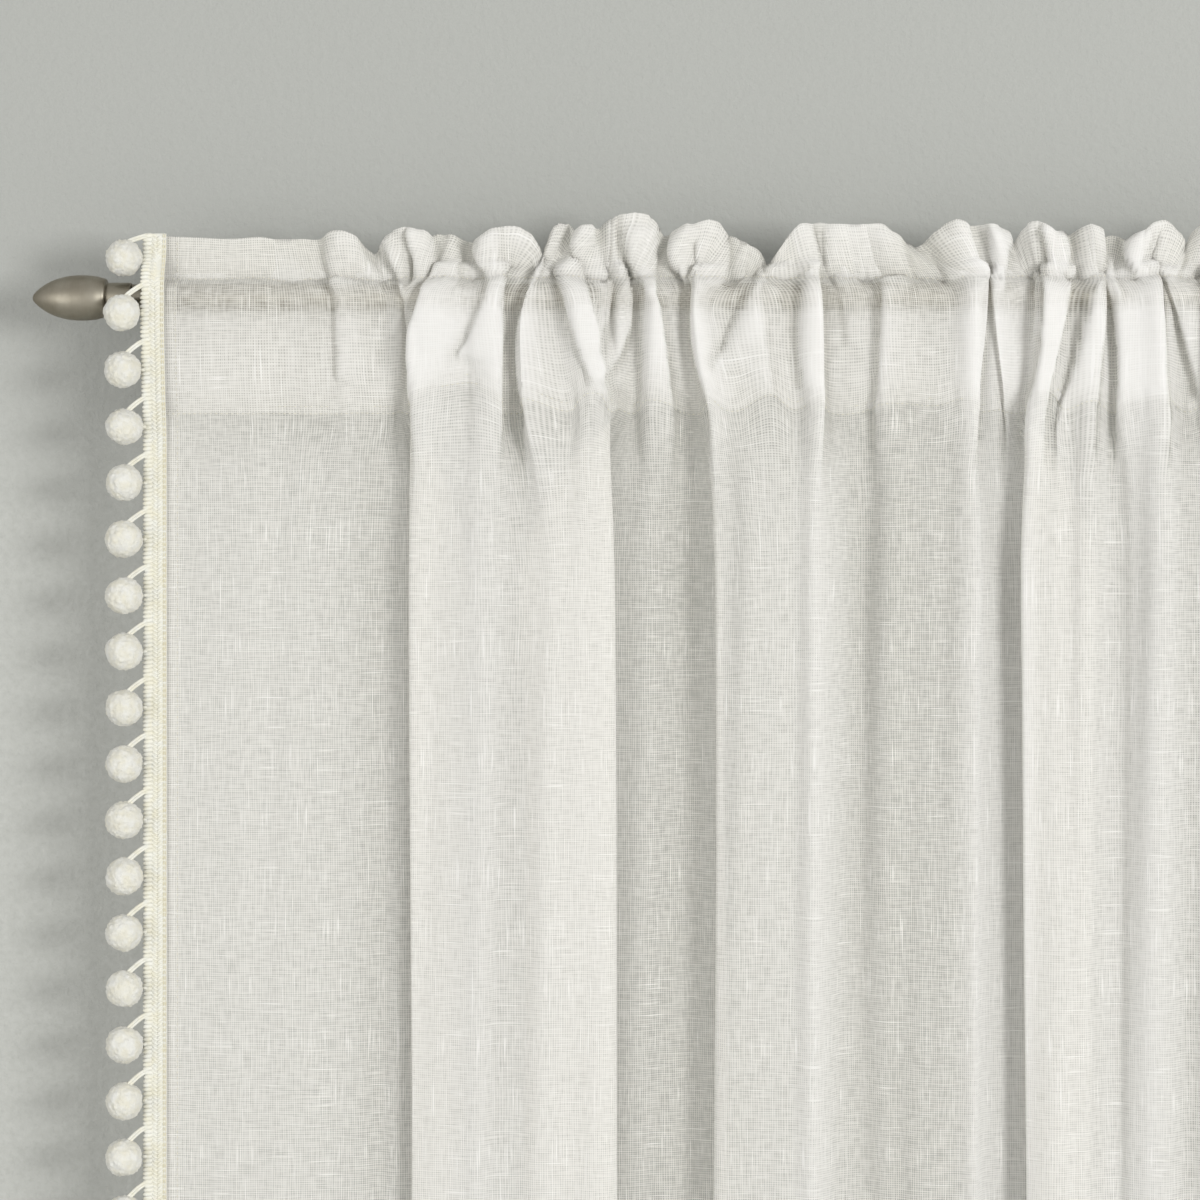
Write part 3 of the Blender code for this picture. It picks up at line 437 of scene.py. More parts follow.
def down_the_sheet(rows, places):
    """Points of the sheet at each place along it, smoothly between the stations."""
    known = np.array([row[0] for row in rows], float)
    points = np.array([row[1] for row in rows])
    slope = np.gradient(points, known, axis=0)
    at = np.clip(np.searchsorted(known, places, side="right") - 1, 0, len(known) - 2)
    span = (known[at + 1] - known[at])[:, None, None]
    u = (places - known[at])[:, None, None] / span
    start, end = points[at], points[at + 1]
    leaving, arriving = span * slope[at], span * slope[at + 1]
    return ((2 * u ** 3 - 3 * u ** 2 + 1) * start + (u ** 3 - 2 * u ** 2 + u) * leaving
            + (3 * u ** 2 - 2 * u ** 3) * end + (u ** 3 - u ** 2) * arriving)


POCKET_FOOT = -10.0  # a crease with its foot below this belongs to the pocket
LONG_FOOT = -60.0  # and below this it reaches the lower stitch line
CREASE_FADE = 7.0  # how far past its ends a crease dies away
NUB_FADE = 3.0  # and a pocket crease past its top, near the top stitch line
LONG_FADE = 55.0  # and a long one past its foot
NUB_BRIDGE = 5.0  # a pocket crease stands forward across the top stitch line
NUB_FROM, NUB_RISE = 3.0, 6.0  # from this height, over this much
OVERHANG = 0.28  # sideways reach of a crease's edge, as a share of its lift
MOST_LIFT = 12.0  # creases that meet don't add up past this
BESIDE = 4.0  # how far out the cloth beside a crease is drawn back
DRAWN_BACK = 0.16  # by this share of the crease's lift
RECESS_EDGE = 0.3  # the recess beside it ends this far up the crease's edge
FULL_RECESS = 7.0  # lift from which that recess counts in full


def crease_relief(x, z):
    """At each point, how far the heading's creases bring the cloth forward and carry it
    sideways over the recess beside them, and how deep in such a recess it lies, 0 to 1, which sets
    the painted shade there."""
    forward = np.zeros_like(x)
    sideways = np.zeros_like(x)
    recess = np.zeros_like(x)
    for row in CREASES:
        heights = row[[FOOT_Z, MIDDLE_Z, TOP_Z]]
        foot, top = heights[0], heights[2]
        bend = np.polyfit(heights, row[[FOOT_X, MIDDLE_X, TOP_X]], 2)
        inside = row[SIDE] * (x - np.polyval(bend, np.clip(z, foot, top)))
        nose = np.clip(inside / row[EDGE], 0, 1)
        rise = np.sqrt(1 - (1 - nose) ** 2)
        fall = 1 - smooth((inside - row[EDGE]) / row[WIDTH])
        pocket = foot < POCKET_FOOT
        low_fade = LONG_FADE if foot < LONG_FOOT else CREASE_FADE
        top_fade = NUB_FADE if pocket else CREASE_FADE
        ends = smooth((z - foot) / low_fade + 1) * smooth((top - z) / top_fade + 1)
        beside = np.exp(-(np.minimum(inside, 0) / BESIDE) ** 2) * (inside < row[EDGE] * RECESS_EDGE)
        lift = row[LIFT] + pocket * NUB_BRIDGE * smooth((z - NUB_FROM) / NUB_RISE)
        forward += lift * (rise * fall - DRAWN_BACK * beside * (inside < 0)) * ends
        sideways -= row[SIDE] * OVERHANG * row[LIFT] * rise * fall ** 2 * ends
        recess = np.maximum(recess, beside * ends * min(row[LIFT] / FULL_RECESS, 1))
    return MOST_LIFT * np.tanh(forward / MOST_LIFT), sideways, recess


def plan_normals(grid):
    """At every point of the grid, the level direction out of the cloth's face."""
    along = unit(np.gradient(grid[:, :, :2], axis=1))
    return np.stack([along[:, :, 1], -along[:, :, 0], 0 * along[:, :, 0]], axis=-1)


def face_normals(grid):
    """Out of the face of the cloth, at every point of the grid."""
    return unit(np.cross(np.gradient(grid, axis=0), np.gradient(grid, axis=1)))


LEVEL_ROW = -8  # a row of the grid well down the hanging cloth


def flat_across(grid):
    """Each column's place on the flat sheet, from a hanging row, over the sheet's real width."""
    steps = np.linalg.norm(np.diff(grid[LEVEL_ROW], axis=0), axis=1)
    along = np.concatenate([[0], np.cumsum(steps)])
    return along * SHEET_WIDTH / along[-1]


DRAPES = 14  # long soft waves, each of its own width and length
DRAPE_WIDTHS, DRAPE_LENGTHS = (14, 60), (400, 1500)
DRAPE_DEPTH = 0.012  # share of its width
PUCKERS = 6  # short waves beside the stitch lines
PUCKER_WIDTHS = (5.5, 10)
PUCKER_DEPTH = 0.22
PUCKER_LINES = ((LOWER_STITCH, 9.0, 1.0), (TOP_STITCH, 6.0, 0.9))  # place, reach, strength
ANY_PHASE = (0, 6.3)
LEFT_CALM, RIGHT_CALM = 30, 25  # the ripples grow from these distances off the side edges,
CALM_FADE, LEAST_RIPPLE = 40, 0.15  # over this width, from this share


def ripples(across, along):
    """Small uneven relief of the cloth: long soft drapes, and puckers beside the stitch lines."""
    rng = np.random.default_rng(11)
    s, t = np.meshgrid(across, along)
    depth = np.zeros_like(s)
    for _ in range(DRAPES):
        width = rng.uniform(*DRAPE_WIDTHS)
        length = rng.uniform(*DRAPE_LENGTHS)
        turns = 2 * math.pi * (s / width + t / length)
        depth += DRAPE_DEPTH * width * np.sin(turns + rng.uniform(*ANY_PHASE))
    near = sum(strength * np.exp(-((np.abs(t) - place) / reach) ** 2)
               for place, reach, strength in PUCKER_LINES)
    pucker = np.zeros_like(s)
    for _ in range(PUCKERS):
        turns = 2 * math.pi * s / rng.uniform(*PUCKER_WIDTHS)
        pucker += np.sin(turns + rng.uniform(*ANY_PHASE))
    fade = (np.clip((s - LEFT_CALM) / CALM_FADE, LEAST_RIPPLE, 1)
            * np.clip((SHEET_WIDTH - RIGHT_CALM - s) / CALM_FADE, LEAST_RIPPLE, 1))
    return (depth + PUCKER_DEPTH * near * pucker) * fade


FOOT_STAND = 1.6  # how far the turned-up foot hangs behind the cloth
SIDE_STAND = 0.9  # and the turned side edges,
HEADING_STAND = 0.3  # closer where they pass through the heading,
HEADING = 30  # up to this far from the frill's top,
CORNER_STAND = 0.35  # and in the turned foot


def turned_hem(grid, places, across, gather_and_shade):
    """The sheet with its foot and both side edges turned back behind it."""
    rows = np.flatnonzero((places >= FOOT - BOTTOM_HEM) & (places < FOOT))[::-1]
    foot = grid[rows] - FOOT_STAND * face_normals(grid)[rows]
    grid = np.concatenate([grid, foot])
    gather_and_shade = np.concatenate([gather_and_shade, gather_and_shade[rows]])
    places = np.concatenate([places, 2 * FOOT - places[rows]])
    stand = np.where(np.abs(places) < HEADING, HEADING_STAND, SIDE_STAND)
    stand[-len(foot):] = CORNER_STAND
    behind = grid - face_normals(grid) * stand[:, None, None]
    left, right = COUNTS[0], COUNTS[-1]
    turned_left = slice(left, 0, -1)
    turned_right = slice(-2, -right - 2, -1)
    grid = np.concatenate([behind[:, turned_left], grid, behind[:, turned_right]], axis=1)
    gather_and_shade = np.concatenate([gather_and_shade[:, turned_left], gather_and_shade, gather_and_shade[:, turned_right]], axis=1)
    beyond = 2 * across[-1] - across[turned_right]
    return grid, places, np.concatenate([-across[turned_left], across, beyond]), gather_and_shade


# where the cloth counts as thickly gathered, which is also painted shade by depth: lighter and
# denser where it stands forward, darker and more see-through where it lies back. Columns: the place
# along it, the depth where it is half so, and the depth that it takes from not at all to fully
GATHER_SHADE_PLACES = (-40, -20, 0, 20, 27, 34, 50, 60, 92, 104, 107, 150, 300)
GATHER_SHADE_MIDDLE = (6, -1, -6, -6, -8, -17, -20, -12, -5, -5, -9, -10, -8)
GATHER_SHADE_REACH = (60, 30, 22, 22, 20, 20, 20, 22, 26, 30, 38, 60, 72)
# painted light and shade: where its folds are made lighter or darker than their depth tells, as
# fuller or thinner cloth: across, and by how much
FULLER_SHADE_ACROSS = (338, 348, 378, 388, 428, 442, 476, 486, 497, 518, 528, 562, 568, 592, 600)
FULLER_SHADE = (0, -0.13, -0.13, 0, 0, -0.22, -0.22, 0, 0.30, 0.30, 0, 0, 0.16, 0.16, 0)


CREASED_FROM, CREASED_RISE = -32, 5  # the creases begin behind the frill
CREASED_TO, CREASED_FADE = 185, 70  # and die away below the pocket
RIM_REACH, RIM_SHARE = 14, 0.2  # at the frill's rim this share of their sideways reach is left
RECESS_PAINTED_SHADE = 0.42  # painted shade beside a crease: how much less gathered, so darker and more see-through, the cloth counts there
LEAST_SLACK = 0.03  # share of the ripples left where the columns crowd


def voile_grid():
    """The sheet's points, row by row along its length, without its turned hems, and how
    thickly the cloth counts as gathered at each, 0 to 1, which also carries painted shade by depth
    and beside the creases."""
    places = row_places()
    rows = sheet_rows()
    grid = down_the_sheet(rows, places)
    front = (smooth((places - CREASED_FROM) / CREASED_RISE)
             * smooth((CREASED_TO - places) / CREASED_FADE))
    forward, sideways, recess = crease_relief(grid[:, :, 0], grid[:, :, 2])
    at_rim = RIM_SHARE + (1 - RIM_SHARE) * smooth(np.abs(places) / RIM_REACH)
    grid[:, :, 0] += sideways * (front * at_rim)[:, None]
    grid[:, :, 1] -= forward * front[:, None]
    # painted shade by depth: cloth lying back counts as less gathered, so it comes out darker and
    # more see-through, and cloth standing forward lighter
    middle = np.interp(places, GATHER_SHADE_PLACES, GATHER_SHADE_MIDDLE)[:, None]
    reach = np.interp(places, GATHER_SHADE_PLACES, GATHER_SHADE_REACH)[:, None]
    gather_and_shade = 0.5 - (grid[:, :, 1] - middle) / reach - RECESS_PAINTED_SHADE * recess * front[:, None]
    gather_and_shade = np.clip(gather_and_shade + np.interp(grid[:, :, 0], FULLER_SHADE_ACROSS, FULLER_SHADE), 0, 1)
    stand = np.interp(places, [row[0] for row in rows], [row[2] for row in rows])
    grid = grid + plan_normals(grid) * stand[:, None, None]
    across = flat_across(grid)
    slack = np.linalg.norm(np.gradient(grid, axis=1), axis=2) / np.gradient(across)
    small = ripples(across, places) * np.clip(slack, LEAST_SLACK, 1)
    grid = grid + face_normals(grid) * small[:, :, None]
    grid[:, :, 0] -= SPREAD / 2
    return grid, places, across, gather_and_shade


def build_voile(grid, places, across, gather_and_shade):
    grid, places, across, gather_and_shade = turned_hem(grid, places, across, gather_and_shade)
    down, over = grid.shape[:2]
    numbers = np.arange(down * over).reshape(down, over)
    faces = np.stack([numbers[:-1, :-1], numbers[1:, :-1], numbers[1:, 1:], numbers[:-1, 1:]],
                     axis=-1).reshape(-1, 4)
    made = mesh_piece("voile", grid.reshape(-1, 3), faces)
    flat = np.stack(np.meshgrid(across, places), axis=-1).reshape(-1, 2) * METRE
    lay_flat_map(made, flat)
    # this attribute also carries the painted shade that darkens the voile where it lies back and
    # beside the creases
    made.data.attributes.new("gather_and_shade", "FLOAT", "POINT").data.foreach_set("value", gather_and_shade.ravel())
    return made


# rows of stitches across the cloth: place, how far they stand off its face, and off its back
STITCH_ROWS = ((27.5, 0.35, None), (105.5, 0.35, None), (-105.5, 0.45, 1.45),
               (FOOT - BOTTOM_HEM + 2, 0.4, 1.4))
SIDE_STITCHES = (0.35, -1.3)  # and of the stitches down both side hems
BELOW_RIM = 2  # where those begin
TIGHT = 0.66  # stitches don't show where the cloth is gathered more
SHORTEST_RUN = 5
STITCH = {"pitch": 3.2, "length": 1.15, "wide": 0.24, "thick": 0.24, "rings": 2, "sides": 4}


def flat_runs(points, flat):
    """The stretches of a row of points that are marked flat, as separate lines."""
    breaks = np.flatnonzero(np.diff(np.concatenate([[0], flat.astype(int), [0]])))
    return [points[a:b] for a, b in zip(breaks[::2], breaks[1::2]) if b - a > SHORTEST_RUN]


def build_stitches(grid, places, gather_and_shade):
    """Small stitches: along the top and lower stitch lines, down both side hems, along the foot."""
    out = face_normals(grid)
    lines = []
    for place, proud, behind in STITCH_ROWS:
        row = int(np.argmin(np.abs(places - place)))
        lines += flat_runs(grid[row] + out[row] * proud, gather_and_shade[row] < TIGHT)
        if behind:
            lines.append(grid[row] - out[row] * behind)
    fronts = np.flatnonzero(places > BELOW_RIM)
    for column in (COUNTS[0] - 1, -COUNTS[-1]):
        lines += [grid[fronts, column] + out[fronts, column] * proud for proud in SIDE_STITCHES]
    return joined("stitches", [bead_row(line, **STITCH) for line in lines])


# ---- small built shapes ----

def mesh_piece(name, points, faces):
    mesh = bpy.data.meshes.new(name)
    mesh.from_pydata((np.asarray(points) * METRE).tolist(), [], [list(face) for face in faces])
    mesh.shade_smooth()
    made = bpy.data.objects.new(name, mesh)
    bpy.context.scene.collection.objects.link(made)
    return made


def lay_flat_map(made, flat):
    """A map of the cloth as it was cut, in metres, for the weave to follow."""
    layer = made.data.uv_layers.new(name="cut")
    corners = np.empty(len(made.data.loops), np.int32)
    made.data.loops.foreach_get("vertex_index", corners)
    layer.uv.foreach_set("vector", flat[corners].astype(np.float32).ravel())


def joined(name, shapes):
    """One piece of many (points, faces) shapes."""
    points = []
    faces = []
    first = 0
    for shape_points, shape_faces in shapes:
        points.append(shape_points)
        faces += [[first + i for i in face] for face in shape_faces]
        first += len(shape_points)
    return mesh_piece(name, np.vstack(points), faces)


def ring_faces(rings, sides, first=0):
    """Faces between each ring of points and the next."""
    faces = []
    for start in range(first, first + (rings - 1) * sides, sides):
        for side in range(sides):
            after = (side + 1) % sides
            faces.append((start + side, start + after, start + sides + after,
                          start + sides + side))
    return faces


def closed_rings(rings, sides):
    """Faces of a row of rings, with a face over each end."""
    last = (rings - 1) * sides
    return ring_faces(rings, sides) + [list(range(sides))[::-1], list(range(last, last + sides))]


def circle(sides):
    """Points round a circle of radius 1."""
    spin = 2 * math.pi * np.arange(sides) / sides
    return np.column_stack([np.cos(spin), np.sin(spin)])


def bead(rings, sides):
    """A unit bead about its long axis: points along it, and faces."""
    points = [(-1.0, 0.0, 0.0)]
    for ring in range(1, rings):
        turn = math.pi * ring / rings
        points += [(-math.cos(turn), math.sin(turn) * y, math.sin(turn) * z)
                   for y, z in circle(sides)]
    points.append((1.0, 0.0, 0.0))
    end = len(points) - 1
    around = [(side, (side + 1) % sides) for side in range(sides)]
    faces = [(0, 1 + after, 1 + side) for side, after in around]
    faces += ring_faces(rings - 1, sides, first=1)
    faces += [(end - sides + side, end - sides + after, end) for side, after in around]
    return np.array(points), faces


def bead_row(line, pitch, length, wide, thick, rings, sides, lean=None):
    """Beads along a line, lying along it, or across it where lean says how far each tips along
    the line. Half-sizes are given: length, wide and thick."""
    one, faces = bead(rings, sides)
    at, direction = along_line(line, pitch)
    points = []
    numbered = []
    for centre, way in zip(at, direction):
        if lean is None:
            long_way, flat_way = way, np.cross(way, (0.0, -1.0, 0.0))
        else:
            long_way, flat_way = unit((1.0, 0.0, 0.0) + lean * way), way
        flat_way = unit(flat_way - long_way * (flat_way @ long_way))
        up_way = np.cross(long_way, flat_way)
        first = len(points) * len(one)
        points.append(centre + one[:, :1] * long_way * length + one[:, 1:2] * flat_way * wide
                      + one[:, 2:] * up_way * thick)
        numbered += [[first + i for i in face] for face in faces]
    return np.vstack(points), numbered


OFF_AXIS = (0.3, -0.9, 0.3)  # a direction that no cord here runs in


def tube(line, radius, sides):
    """A round cord along a line, with closed ends."""
    way = unit(np.gradient(line, axis=0))
    side_way = unit(np.cross(way, OFF_AXIS))
    rings = [line + radius * (y * side_way + z * np.cross(way, side_way))
             for y, z in circle(sides)]
    return np.stack(rings, axis=1).reshape(-1, 3), closed_rings(len(line), sides)


# a band's section with softened edges: share of its width, share of its thickness
BAND_SECTION = ((0, 0.15), (0.03, 1), (0.97, 1), (1, 0.15), (0.97, 0), (0.03, 0))


def ribbon(line, left, width, thick):
    """A flat band of given width down a line, its back on the line."""
    forward = np.cross(unit(np.gradient(line, axis=0)), (1.0, 0.0, 0.0))
    forward *= np.where(forward[:, 1:2] > 0, -1, 1)
    rows = []
    for share, proud in BAND_SECTION:
        row = line + forward * proud * thick
        row[:, 0] = left + share * width
        rows.append(row)
    return np.stack(rows, axis=1).reshape(-1, 3), closed_rings(len(line), len(BAND_SECTION))


# ---- the trim ----

def pom_names():
    return sorted(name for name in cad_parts
                  if name.startswith("pompom_") and name[-1].isdigit())


def pom_centre(name):
    low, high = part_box(name)
    return (np.array(low) + np.array(high)) / 2 / METRE


EDGE_COLUMNS = slice(2, 8)  # the cloth's columns behind the braid
BRAID_ABOVE = 1.2  # how far the braid stands above the cloth's top edge
LINE_STEP = 2.0
CLEARED = 5  # steps each way: the braid clears the foremost cloth near it
SOFTENED, SOFT_REACH = 4.0, 7  # steps, and it bends this softly


def trim_line(grid, places):
    """The braid's back: down the cloth's left edge, a little in front of it."""
    fronts = np.flatnonzero(places >= 0)
    edge = grid[fronts, EDGE_COLUMNS].mean(axis=1)
    edge[:, 1] -= BRAID_BEHIND
    edge[0, 2] += BRAID_ABOVE
    heights = np.arange(edge[0, 2], edge[-1, 2], -LINE_STEP)
    depth = np.interp(-heights, -edge[:, 2], edge[:, 1])
    foremost = [depth[max(i - CLEARED, 0):i + CLEARED + 1].min() for i in range(len(depth))]
    spread = np.exp(-(np.arange(-SOFT_REACH, SOFT_REACH + 1) / SOFTENED) ** 2)
    depth = np.convolve(np.pad(foremost, SOFT_REACH, mode="edge"), spread / spread.sum(),
                        mode="valid")
    return np.column_stack([np.full(len(heights), BRAID_LEFT), depth, heights])


# the braid's two ribbons: from its outer edge, width, thickness
BRAID_BANDS = ((0.7, BRAID_WIDTH - 0.7, 1.1), (0.9, 11.0, 1.5))
# its rows of beads: from its outer edge, backward, lower by half a pitch or not, drawn in at
# the loops or not, half-length, half-width, half-thickness, rings, sides, and how each tips
# along the braid, if it lies across
BRAID_BEADS = (
    (2.7, 0.0, 0, 1, 3.1, 1.5, 1.35, 6, 8, -0.10),  # plump ribs down the outer edge
    (7.1, -0.1, 0, 0, 2.0, 0.95, 1.0, 6, 7, 0.62),  # chain, outer side
    (9.9, -0.1, 1, 0, 2.0, 0.95, 1.0, 6, 7, -0.62),  # chain, inner side
    (5.5, 0.1, 1, 0, 1.0, 0.8, 0.8, 4, 6, None),  # small row between
)
BEADS_AHEAD = 1.3  # of the braid's back
ROOT_BELOW = 2.0  # the ribs draw in at each loop, this far below its root,
ROOT_REACH, ROOT_DRAW = 2.6, 0.9  # over this reach and by this much


def build_braid(line, centres):
    """The knitted braid: plump ribs down its outer edge, a chain of slanting stitches beside
    them, and a flat edge, all on a woven ribbon."""
    roots = np.array([centre[2] + LOOP_RISE - ROOT_BELOW for centre in centres])
    from_root = np.abs(line[:, 2:] - roots[None, :]).min(axis=1)
    drawn = ROOT_DRAW * np.exp(-(from_root / ROOT_REACH) ** 2)
    shapes = [ribbon(line, BRAID_LEFT + start, width, thick)
              for start, width, thick in BRAID_BANDS]
    for place, back, lower, at_loops, *size in BRAID_BEADS:
        row = line + (place, back - BEADS_AHEAD, -lower * RIB_PITCH / 2)
        row[:, 0] += at_loops * drawn
        shapes.append(bead_row(row, RIB_PITCH, *size))
    return joined("braid", shapes)


# a loop's route, from the pom-pom's centre: across, share of the braid's depth ahead of the
# centre, more depth, height
LOOP_ROUTE = ((14.2, 1.0, 0.0, 17.4), (12.2, 1.0, -0.5, 17.0), (9.8, 0.9, 0.0, 15.9),
              (7.3, 0.6, 0.0, 14.1), (5.2, 0.2, -0.4, 12.2), (3.6, 0.0, -0.8, 10.6),
              (2.2, 0.0, -0.6, 9.2))
LOOP_STEPS = 6
LOOP_AHEAD = 0.9  # of the braid's back
LOOP_FOOT = 9.0  # height that stays where the loop is shortened
BELOW_BRAID_TOP = 1.6  # the first loop leaves the braid this far below its top
STRAND_APART, STRAND_RADIUS, STRAND_SIDES = 0.70, 0.86, 8
TIE_PLACE, TIE_DEPTH = 11.6, 0.7  # the small tie: across, share of the depth
TIE_SIZE = (1.5, 1.0, 1.1)


def build_loops(line, centres):
    """A flat two-strand loop from the braid over to the top of each pom-pom, and a small tie."""
    tie, tie_faces = bead(5, 8)
    shapes = []
    for centre in centres:
        rise = min(LOOP_RISE, line[0, 2] - BELOW_BRAID_TOP - centre[2])
        depth = np.interp(-(centre[2] + rise), -line[:, 2], line[:, 1]) - LOOP_AHEAD - centre[1]
        route = curve_through([(x, depth * share + more, z) for x, share, more, z in LOOP_ROUTE],
                              LOOP_STEPS)
        shorter = (rise - LOOP_FOOT) / (LOOP_RISE - LOOP_FOOT)
        route[:, 2] = LOOP_FOOT + (route[:, 2] - LOOP_FOOT) * shorter
        way = np.gradient(route, axis=0)
        apart = STRAND_APART * unit(np.column_stack([-way[:, 2], 0 * way[:, 0], way[:, 0]]))
        for side in (-1, 1):
            shapes.append(tube(centre + route + apart * side, STRAND_RADIUS, STRAND_SIDES))
        place = centre + (TIE_PLACE, depth * TIE_DEPTH, 0.0)
        shapes.append((place + tie * TIE_SIZE, tie_faces))
    return joined("loops", shapes)


TRIM_STITCH = {"pitch": 3.1, "length": 1.3, "wide": 0.34, "thick": 0.3, "rings": 3, "sides": 5}
TRIM_STITCH_AHEAD = 1.4  # of the braid's back
TRIM_STITCH_ROWS = (12.3, 13.4)  # from its outer edge


def build_trim_stitches(line):
    """Two rows of thread down the braid's flat edge."""
    return joined("trim_stitches", [bead_row(line + (place, -TRIM_STITCH_AHEAD, 0), **TRIM_STITCH)
                                    for place in TRIM_STITCH_ROWS])


TUFTS = 430
TUFT_EDGE = 0.988  # cosine of the angle between a tuft's middle and its edge
TUFT_HEIGHT = 0.85
LEAST_TUFT = 0.2  # the lowest tuft, as a share of that
SWAYS, SWAY_TURNS, SWAY_DEPTH = 6, 3.0, 0.12  # long soft waves of the ball's outline
FLUFF = 0.08  # spread of the finest roughness
POM_INSET = 0.25  # of the ball's ground inside the solid's radius


def build_pom(name, number, ball):
    """A felted wool ball: round, with small soft tufts, each ball a little different."""
    sphere, faces = ball
    rng = np.random.default_rng(100 + number)
    tufts = unit(rng.normal(0, 1, (TUFTS, 3)))
    reach = sphere @ tufts.T
    nearest = reach.argmax(axis=1)
    swell = np.clip((reach.max(axis=1) - TUFT_EDGE) / (1 - TUFT_EDGE), 0, 1)
    swell *= rng.uniform(LEAST_TUFT, 1.0, TUFTS)[nearest]
    sway = np.zeros(len(sphere))
    for _ in range(SWAYS):
        sway += np.sin(sphere @ rng.normal(0, SWAY_TURNS, 3) + rng.uniform(0, 6))
    low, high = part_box(name)
    radius = (high[2] - low[2]) / METRE / 2
    out = radius - POM_INSET + TUFT_HEIGHT * swell + SWAY_DEPTH * sway
    out += rng.normal(0, FLUFF, len(sphere))
    return mesh_piece("pom" + name[-3:], pom_centre(name) + sphere * out[:, None], faces)


def felt_ball():
    shape = bmesh.new()
    bmesh.ops.create_icosphere(shape, subdivisions=5, radius=1.0)
    points = np.array([vert.co[:] for vert in shape.verts])
    faces = [[vert.index for vert in face.verts] for face in shape.faces]
    shape.free()
    return points, faces


# ---- the rod ----

ROUND = 96  # sides of a turned shape


def turned(name, profile, side):
    """A shape turned about the rod's axis: profile gives place along the rod and radius."""
    ring = np.column_stack([np.zeros(ROUND), circle(ROUND)])
    points = np.vstack([(side * along, 0, 0) + ring * radius for along, radius in profile])
    faces = closed_rings(len(profile), ROUND)
    return mesh_piece(name, points, faces if side > 0 else [face[::-1] for face in faces])


FINIAL_GAP = 0.3  # between the rod's end and the finial
# place along the finial, radius
COLLAR = ((0, 8.1), (0.1, 8.6), (0.5, 8.95), (1.0, 9.0), (13.9, 9.0), (14.1, 8.9),
          (14.2, 8.3), (14.7, 8.3), (14.8, 10.2), (15.0, 10.9), (15.6, 11.4))
BULLET = ((15.6, 11.4), (21.5, 12.9), (30.5, 13.5), (39.5, 12.6), (48.0, 9.9), (54.0, 6.4),
          (57.3, 3.6), (58.9, 1.6), (59.3, 0.15))
BULLET_STEPS = 7


def finial_profile():
    """Collar, groove, then the bullet: place along the rod from its middle, and radius."""
    bullet = curve_through([(along, radius, 0) for along, radius in BULLET], BULLET_STEPS)
    profile = list(COLLAR) + [point[:2] for point in bullet[1:]]
    return [(ROD_END + FINIAL_GAP + along, radius) for along, radius in profile]


SEAM_SPIN = math.radians(128)  # where the tube's seam runs
SEAM_DEPTH, SEAM_WIDTH = 0.3, 0.022  # mm, radians
BY_SEAM = (-0.03, -0.015, 0.012, 0.03)  # extra sides beside it
EASED, EASE_LENGTH = 0.5, 0.4  # the tube's ends


def build_rod():
    """The rod as a rolled tube, with a fine seam along it and eased ends."""
    spin = 2 * math.pi * np.arange(ROUND) / ROUND
    spin = np.sort(np.concatenate([spin, SEAM_SPIN + np.array(BY_SEAM)]))
    dip = SEAM_DEPTH * np.exp(-((spin - SEAM_SPIN) / SEAM_WIDTH) ** 2)
    ends = ((-ROD_END, EASED), (-ROD_END + EASE_LENGTH, 0.0), (ROD_END - EASE_LENGTH, 0.0),
            (ROD_END, EASED))
    points = []
    for x, eased in ends:
        radius = ROD_RADIUS - eased - dip
        points.append(np.column_stack([np.full(len(spin), x), radius * np.cos(spin),
                                       radius * np.sin(spin)]))
    faces = [face[::-1] for face in closed_rings(len(ends), len(spin))]
    return mesh_piece("rod_tube", np.vstack(points), faces)


# ---- materials ----

class Nodes:
    """Short names for the few node kinds used here."""

    def __init__(self, name):
        self.material = bpy.data.materials.new(name)
        self.material.use_nodes = True
        self.tree = self.material.node_tree
        self.tree.nodes.clear()
        self.output = self.tree.nodes.new("ShaderNodeOutputMaterial")

    def add(self, kind, inputs=(), **settings):
        node = self.tree.nodes.new("ShaderNode" + kind)
        for key, value in settings.items():
            setattr(node, key, value)
        for key, value in dict(inputs).items():
            if hasattr(value, "is_output"):
                self.tree.links.new(value, node.inputs[key])
            else:
                node.inputs[key].default_value = value
        return node

    def math(self, operation, a, b=0.0, clamp=False):
        node = self.add("Math", {0: a, 1: b}, operation=operation, use_clamp=clamp)
        return node.outputs[0]

    def ramp(self, value, low, high, to_low=0.0, to_high=1.0):
        node = self.add("MapRange", {"Value": value, "From Min": low, "From Max": high,
                                     "To Min": to_low, "To Max": to_high})
        return node.outputs[0]

    def noise(self, where, scale, detail=2.0, roughness=0.5):
        node = self.add("TexNoise", {"Vector": where, "Scale": scale, "Detail": detail,
                                     "Roughness": roughness})
        return node.outputs["Fac"]

    def flat_noise(self, where, across, down):
        """Noise over the flat cloth, with its own scale each way."""
        place = self.scaled(where, (across, down, 1))
        node = self.add("TexNoise", {"Vector": place, "Scale": 1.0, "Detail": 0.0},
                        noise_dimensions="2D")
        return node.outputs["Fac"]

    def blend(self, share, low, high):
        """A colour between two."""
        return self.add("Mix", {0: share, 6: low, 7: high}, data_type="RGBA").outputs[2]

    def scaled(self, where, by):
        return self.add("Mapping", {"Vector": where, "Scale": by}).outputs[0]

    def finish(self, shader):
        self.tree.links.new(shader, self.output.inputs["Surface"])
        return self.material


YARN_PITCH = 0.0013  # metres from one yarn of the weave to the next
SWELL_ACROSS, SWELL_ALONG = 760, 110  # swellings of the yarns, to a metre
YARN_ROUND = 0.9  # share of a yarn's wave in how much it covers


